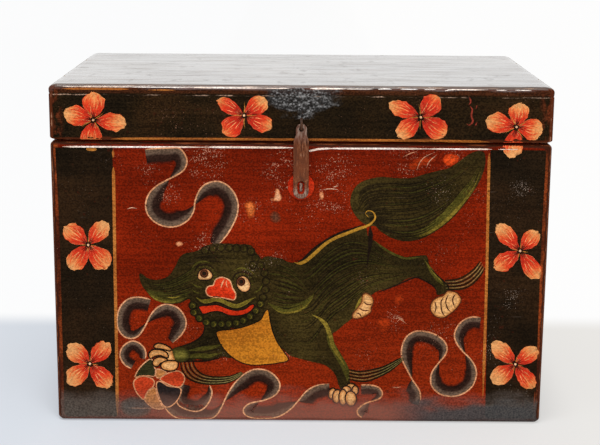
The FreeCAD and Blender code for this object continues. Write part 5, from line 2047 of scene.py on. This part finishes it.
# %% Ball
ball_green = paint("ball_green", evenly((44, 40, 20), (58, 54, 28)))
ball_red = paint("ball_red", evenly((178, 54, 24), (204, 78, 40)))
ball_ink = paint("ball_ink", evenly((32, 26, 26), (48, 38, 34)))
ball_ochre = paint("ball_ochre", evenly((182, 112, 58), (204, 138, 80)))
panels = [
    (ball_green, [(135, 377), (138.7, 369.2), (145.2, 362.2), (151.7, 359), (154.5, 367.3), (156, 370),
                  (154.5, 376), (148, 375.7), (140.5, 375.9)]),
    (ball_red, [(133.6, 382.3), (137.7, 377.6), (144.3, 376.2), (151.7, 378.5), (154.4, 382.3), (152.7, 387),
                (148, 390.9), (144.3, 399), (139.6, 396.3), (135.2, 389.7)]),
    (ball_ochre, [(155, 387.9), (157.3, 395.3), (161.5, 404.7), (163.5, 408.4), (155.5, 408.6), (149, 404.9),
                  (144.7, 399.2), (148, 391.6)]),
    (ball_ink, [(156.4, 384.1), (160.1, 381.3), (168.5, 386), (179.7, 387.8), (180.7, 393.5), (176, 401.9),
                (168.5, 407), (162.9, 404.7), (158.3, 394.4)]),
    (ball_red, [(160.1, 378.7), (168.5, 373), (177.9, 371), (183.5, 374.8), (184.4, 380.4), (180.7, 386.4),
                (175, 386.7), (166.7, 383.4)]),
    (ball_ochre, [(156.4, 369.2), (164.8, 371), (165.7, 373.4), (159.2, 377.8), (155.9, 375.9)]),
]
ball = PaintLayer("ball")
for finish, outline in panels:
    add_shape(ball, outline, finish, 0.3, 3.0)
add_strokes(ball, [stroke(outline, 1.2, closed=True) for finish, outline in panels], ribbon_edge, 0.32, 0.06, 1.2)
ball.dry("trunk", body_shell)

# %% [markdown]
# ## Rust
#
# A century of damp turned the iron brown. One shared group has two masks, pits drawn out along the bar and
# broad blooms, so strap, pins and hinges differ only in colour.

# %% Rust
rust, given, result = effect("rust", {"Scale": 160.0}, ("Pits", "Bloom"))
tree = rust
place = object_place(tree)
long_place = add_node(tree, "ShaderNodeMapping", {"Vector": place, "Scale": (1.0, 1.0, 0.22)}).outputs[0]
spots = add_node(tree, "ShaderNodeTexNoise", {"Vector": long_place, "Scale": given["Scale"], "Detail": 6.0,
                                              "Roughness": 0.65}).outputs[0]
tree.links.new(soft_step(tree, spots, 0.3, 0.7), result["Pits"])
tree.links.new(soft_step(tree, speckle(tree, place, 55.0, detail=5.0, shift=4.4), 0.4, 0.66), result["Bloom"])
print(rust.name, "has", len(tree.nodes), "nodes")

# %% [markdown]
# ## Iron
#
# The strap is brown but brighter at its ends, where it rubs. The staple is greyer and paler, its palest tone a painted
# highlight, and the other iron nearly black. The recipe is only partly metallic, because rust is a mineral.

# %% Iron
def iron(name, tones, bloom, metal=0.25, wear_and_highlight=None):
    material, tree = new_material(name)
    marks = use_effect(tree, rust, Scale=420.0)
    colour = tone_ramp(tree, marks["Pits"], tones)
    colour = mix_colour(tree, times(tree, marks["Bloom"], 0.6), colour, pigment(*bloom))
    if wear_and_highlight:
        height = place_xyz(tree)[2]
        low_end = soft_step(tree, height, wear_and_highlight[0] + 16 * MM, wear_and_highlight[0] + 6 * MM)
        high_end = soft_step(tree, height, wear_and_highlight[1] - 26 * MM, wear_and_highlight[1] - 8 * MM)
        rubbing = times(tree, larger(tree, low_end, high_end),
                        soft_step(tree, marks["Pits"], 0.35, 0.75, 0.15, 0.8))
        colour = mix_colour(tree, rubbing, colour, pigment(150, 128, 114))
    bump = add_node(tree, "ShaderNodeBump", {"Height": marks["Pits"], "Distance": 0.4 * MM, "Strength": 0.6})
    rough = soft_step(tree, marks["Pits"], 0.2, 0.8, 0.5, 0.78)
    inputs = {"Base Color": colour, "Roughness": rough, "Metallic": metal, "Specular IOR Level": 0.12,
              "Normal": bump.outputs[0]}
    shader = add_node(tree, "ShaderNodeBsdfPrincipled", inputs)
    add_node(tree, "ShaderNodeOutputMaterial", {0: shader.outputs[0]})
    return material


hasp_iron = iron("hasp_iron", [(0.0, (44, 22, 13)), (0.45, (92, 47, 25)), (0.8, (118, 68, 42)),
                               (1.0, (144, 100, 74))], (110, 56, 30), 0.1,
                 [corner.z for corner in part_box("hasp_strap")])
# Painted highlight in part: the staple's palest tone stands in for the glint on its loop.
staple_iron_and_highlight = iron("staple_iron_and_highlight", evenly((50, 36, 30), (108, 84, 72), (184, 160, 146)), (104, 64, 44), 0.25)
dark_iron = iron("dark_iron", evenly((34, 26, 22), (62, 46, 36), (88, 64, 48)), (96, 56, 34), 0.4)
plate_red = paint("plate_red", evenly((146, 26, 6), (176, 37, 12), (194, 52, 22)), streak_depth=0.3)
print("irons:", hasp_iron.name, staple_iron_and_highlight.name, dark_iron.name, "and the plate:", plate_red.name)

# %% [markdown]
# ## Forged pieces
#
# A smith cut hasp, pins and plate from bar and sheet. The CAD shapes are right, so a copy of each only has
# its sharp edges bevelled and its points nudged by noise, as a hammer would.

# %% Forging
crease, forged_edge = math.radians(35), math.radians(50)


def forged(node, body, finish, bevel, dent):
    work = bmesh.new()
    work.from_mesh(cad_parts[node].data)
    bmesh.ops.remove_doubles(work, verts=work.verts, dist=0.005 * MM)
    bmesh.ops.dissolve_limit(work, angle_limit=math.radians(1), verts=work.verts, edges=work.edges)
    sharp = [e for e in work.edges if len(e.link_faces) == 2 and e.calc_face_angle() > crease]
    bmesh.ops.bevel(work, geom=sharp, offset=bevel * MM, segments=2, profile=0.6, affect="EDGES",
                    clamp_overlap=True)
    bmesh.ops.triangulate(work, faces=work.faces)
    for v in work.verts:
        v.co += v.normal * dent * MM * noise.noise(v.co * 140)
    mesh = bpy.data.meshes.new(node + "_forged")
    work.to_mesh(mesh)
    work.free()
    mesh.materials.append(finish)
    mesh.polygons.foreach_set("use_smooth", [True] * len(mesh.polygons))
    mesh.set_sharp_from_angle(angle=forged_edge)
    piece = bpy.data.objects.new(node + "_forged", mesh)
    scene.collection.objects.link(piece)
    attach(piece, body)
    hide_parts(node)


forged("hasp_strap", "hasp", hasp_iron, 0.6, 0.12)
forged("hasp_hanger_pin", "lid", dark_iron, 0.3, 0.05)
forged("lock_staple", "trunk", staple_iron_and_highlight, 0.3, 0.05)
forged("lock_plate", "trunk", plate_red, 0.25, 0.05)

# %% [markdown]
# ## Pieces that keep their CAD shape
#
# Bottom planks, pegs, hinges and nails are seen only from below, behind or inside. Their shapes are right,
# so they only get a finish: softwood, bamboo or dark iron.

# %% CAD nodes that keep their shape
bamboo = bare_wood("bamboo_peg", (160, 160, 30), (120, 88, 48), (190, 156, 104))
dressing = {"bottom_pegs": bamboo, "lid_pegs": bamboo}
dressing.update({f"bottom_{place}_plank": wood_along_x for place in ("front", "middle", "back")})
for name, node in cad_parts.items():
    if node.hide_render:
        continue
    finish = dressing.get(name, dark_iron)
    node.data.materials.clear()
    node.data.materials.append(finish)
print("dressed CAD nodes:", sorted(n for n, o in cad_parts.items() if not o.hide_render))
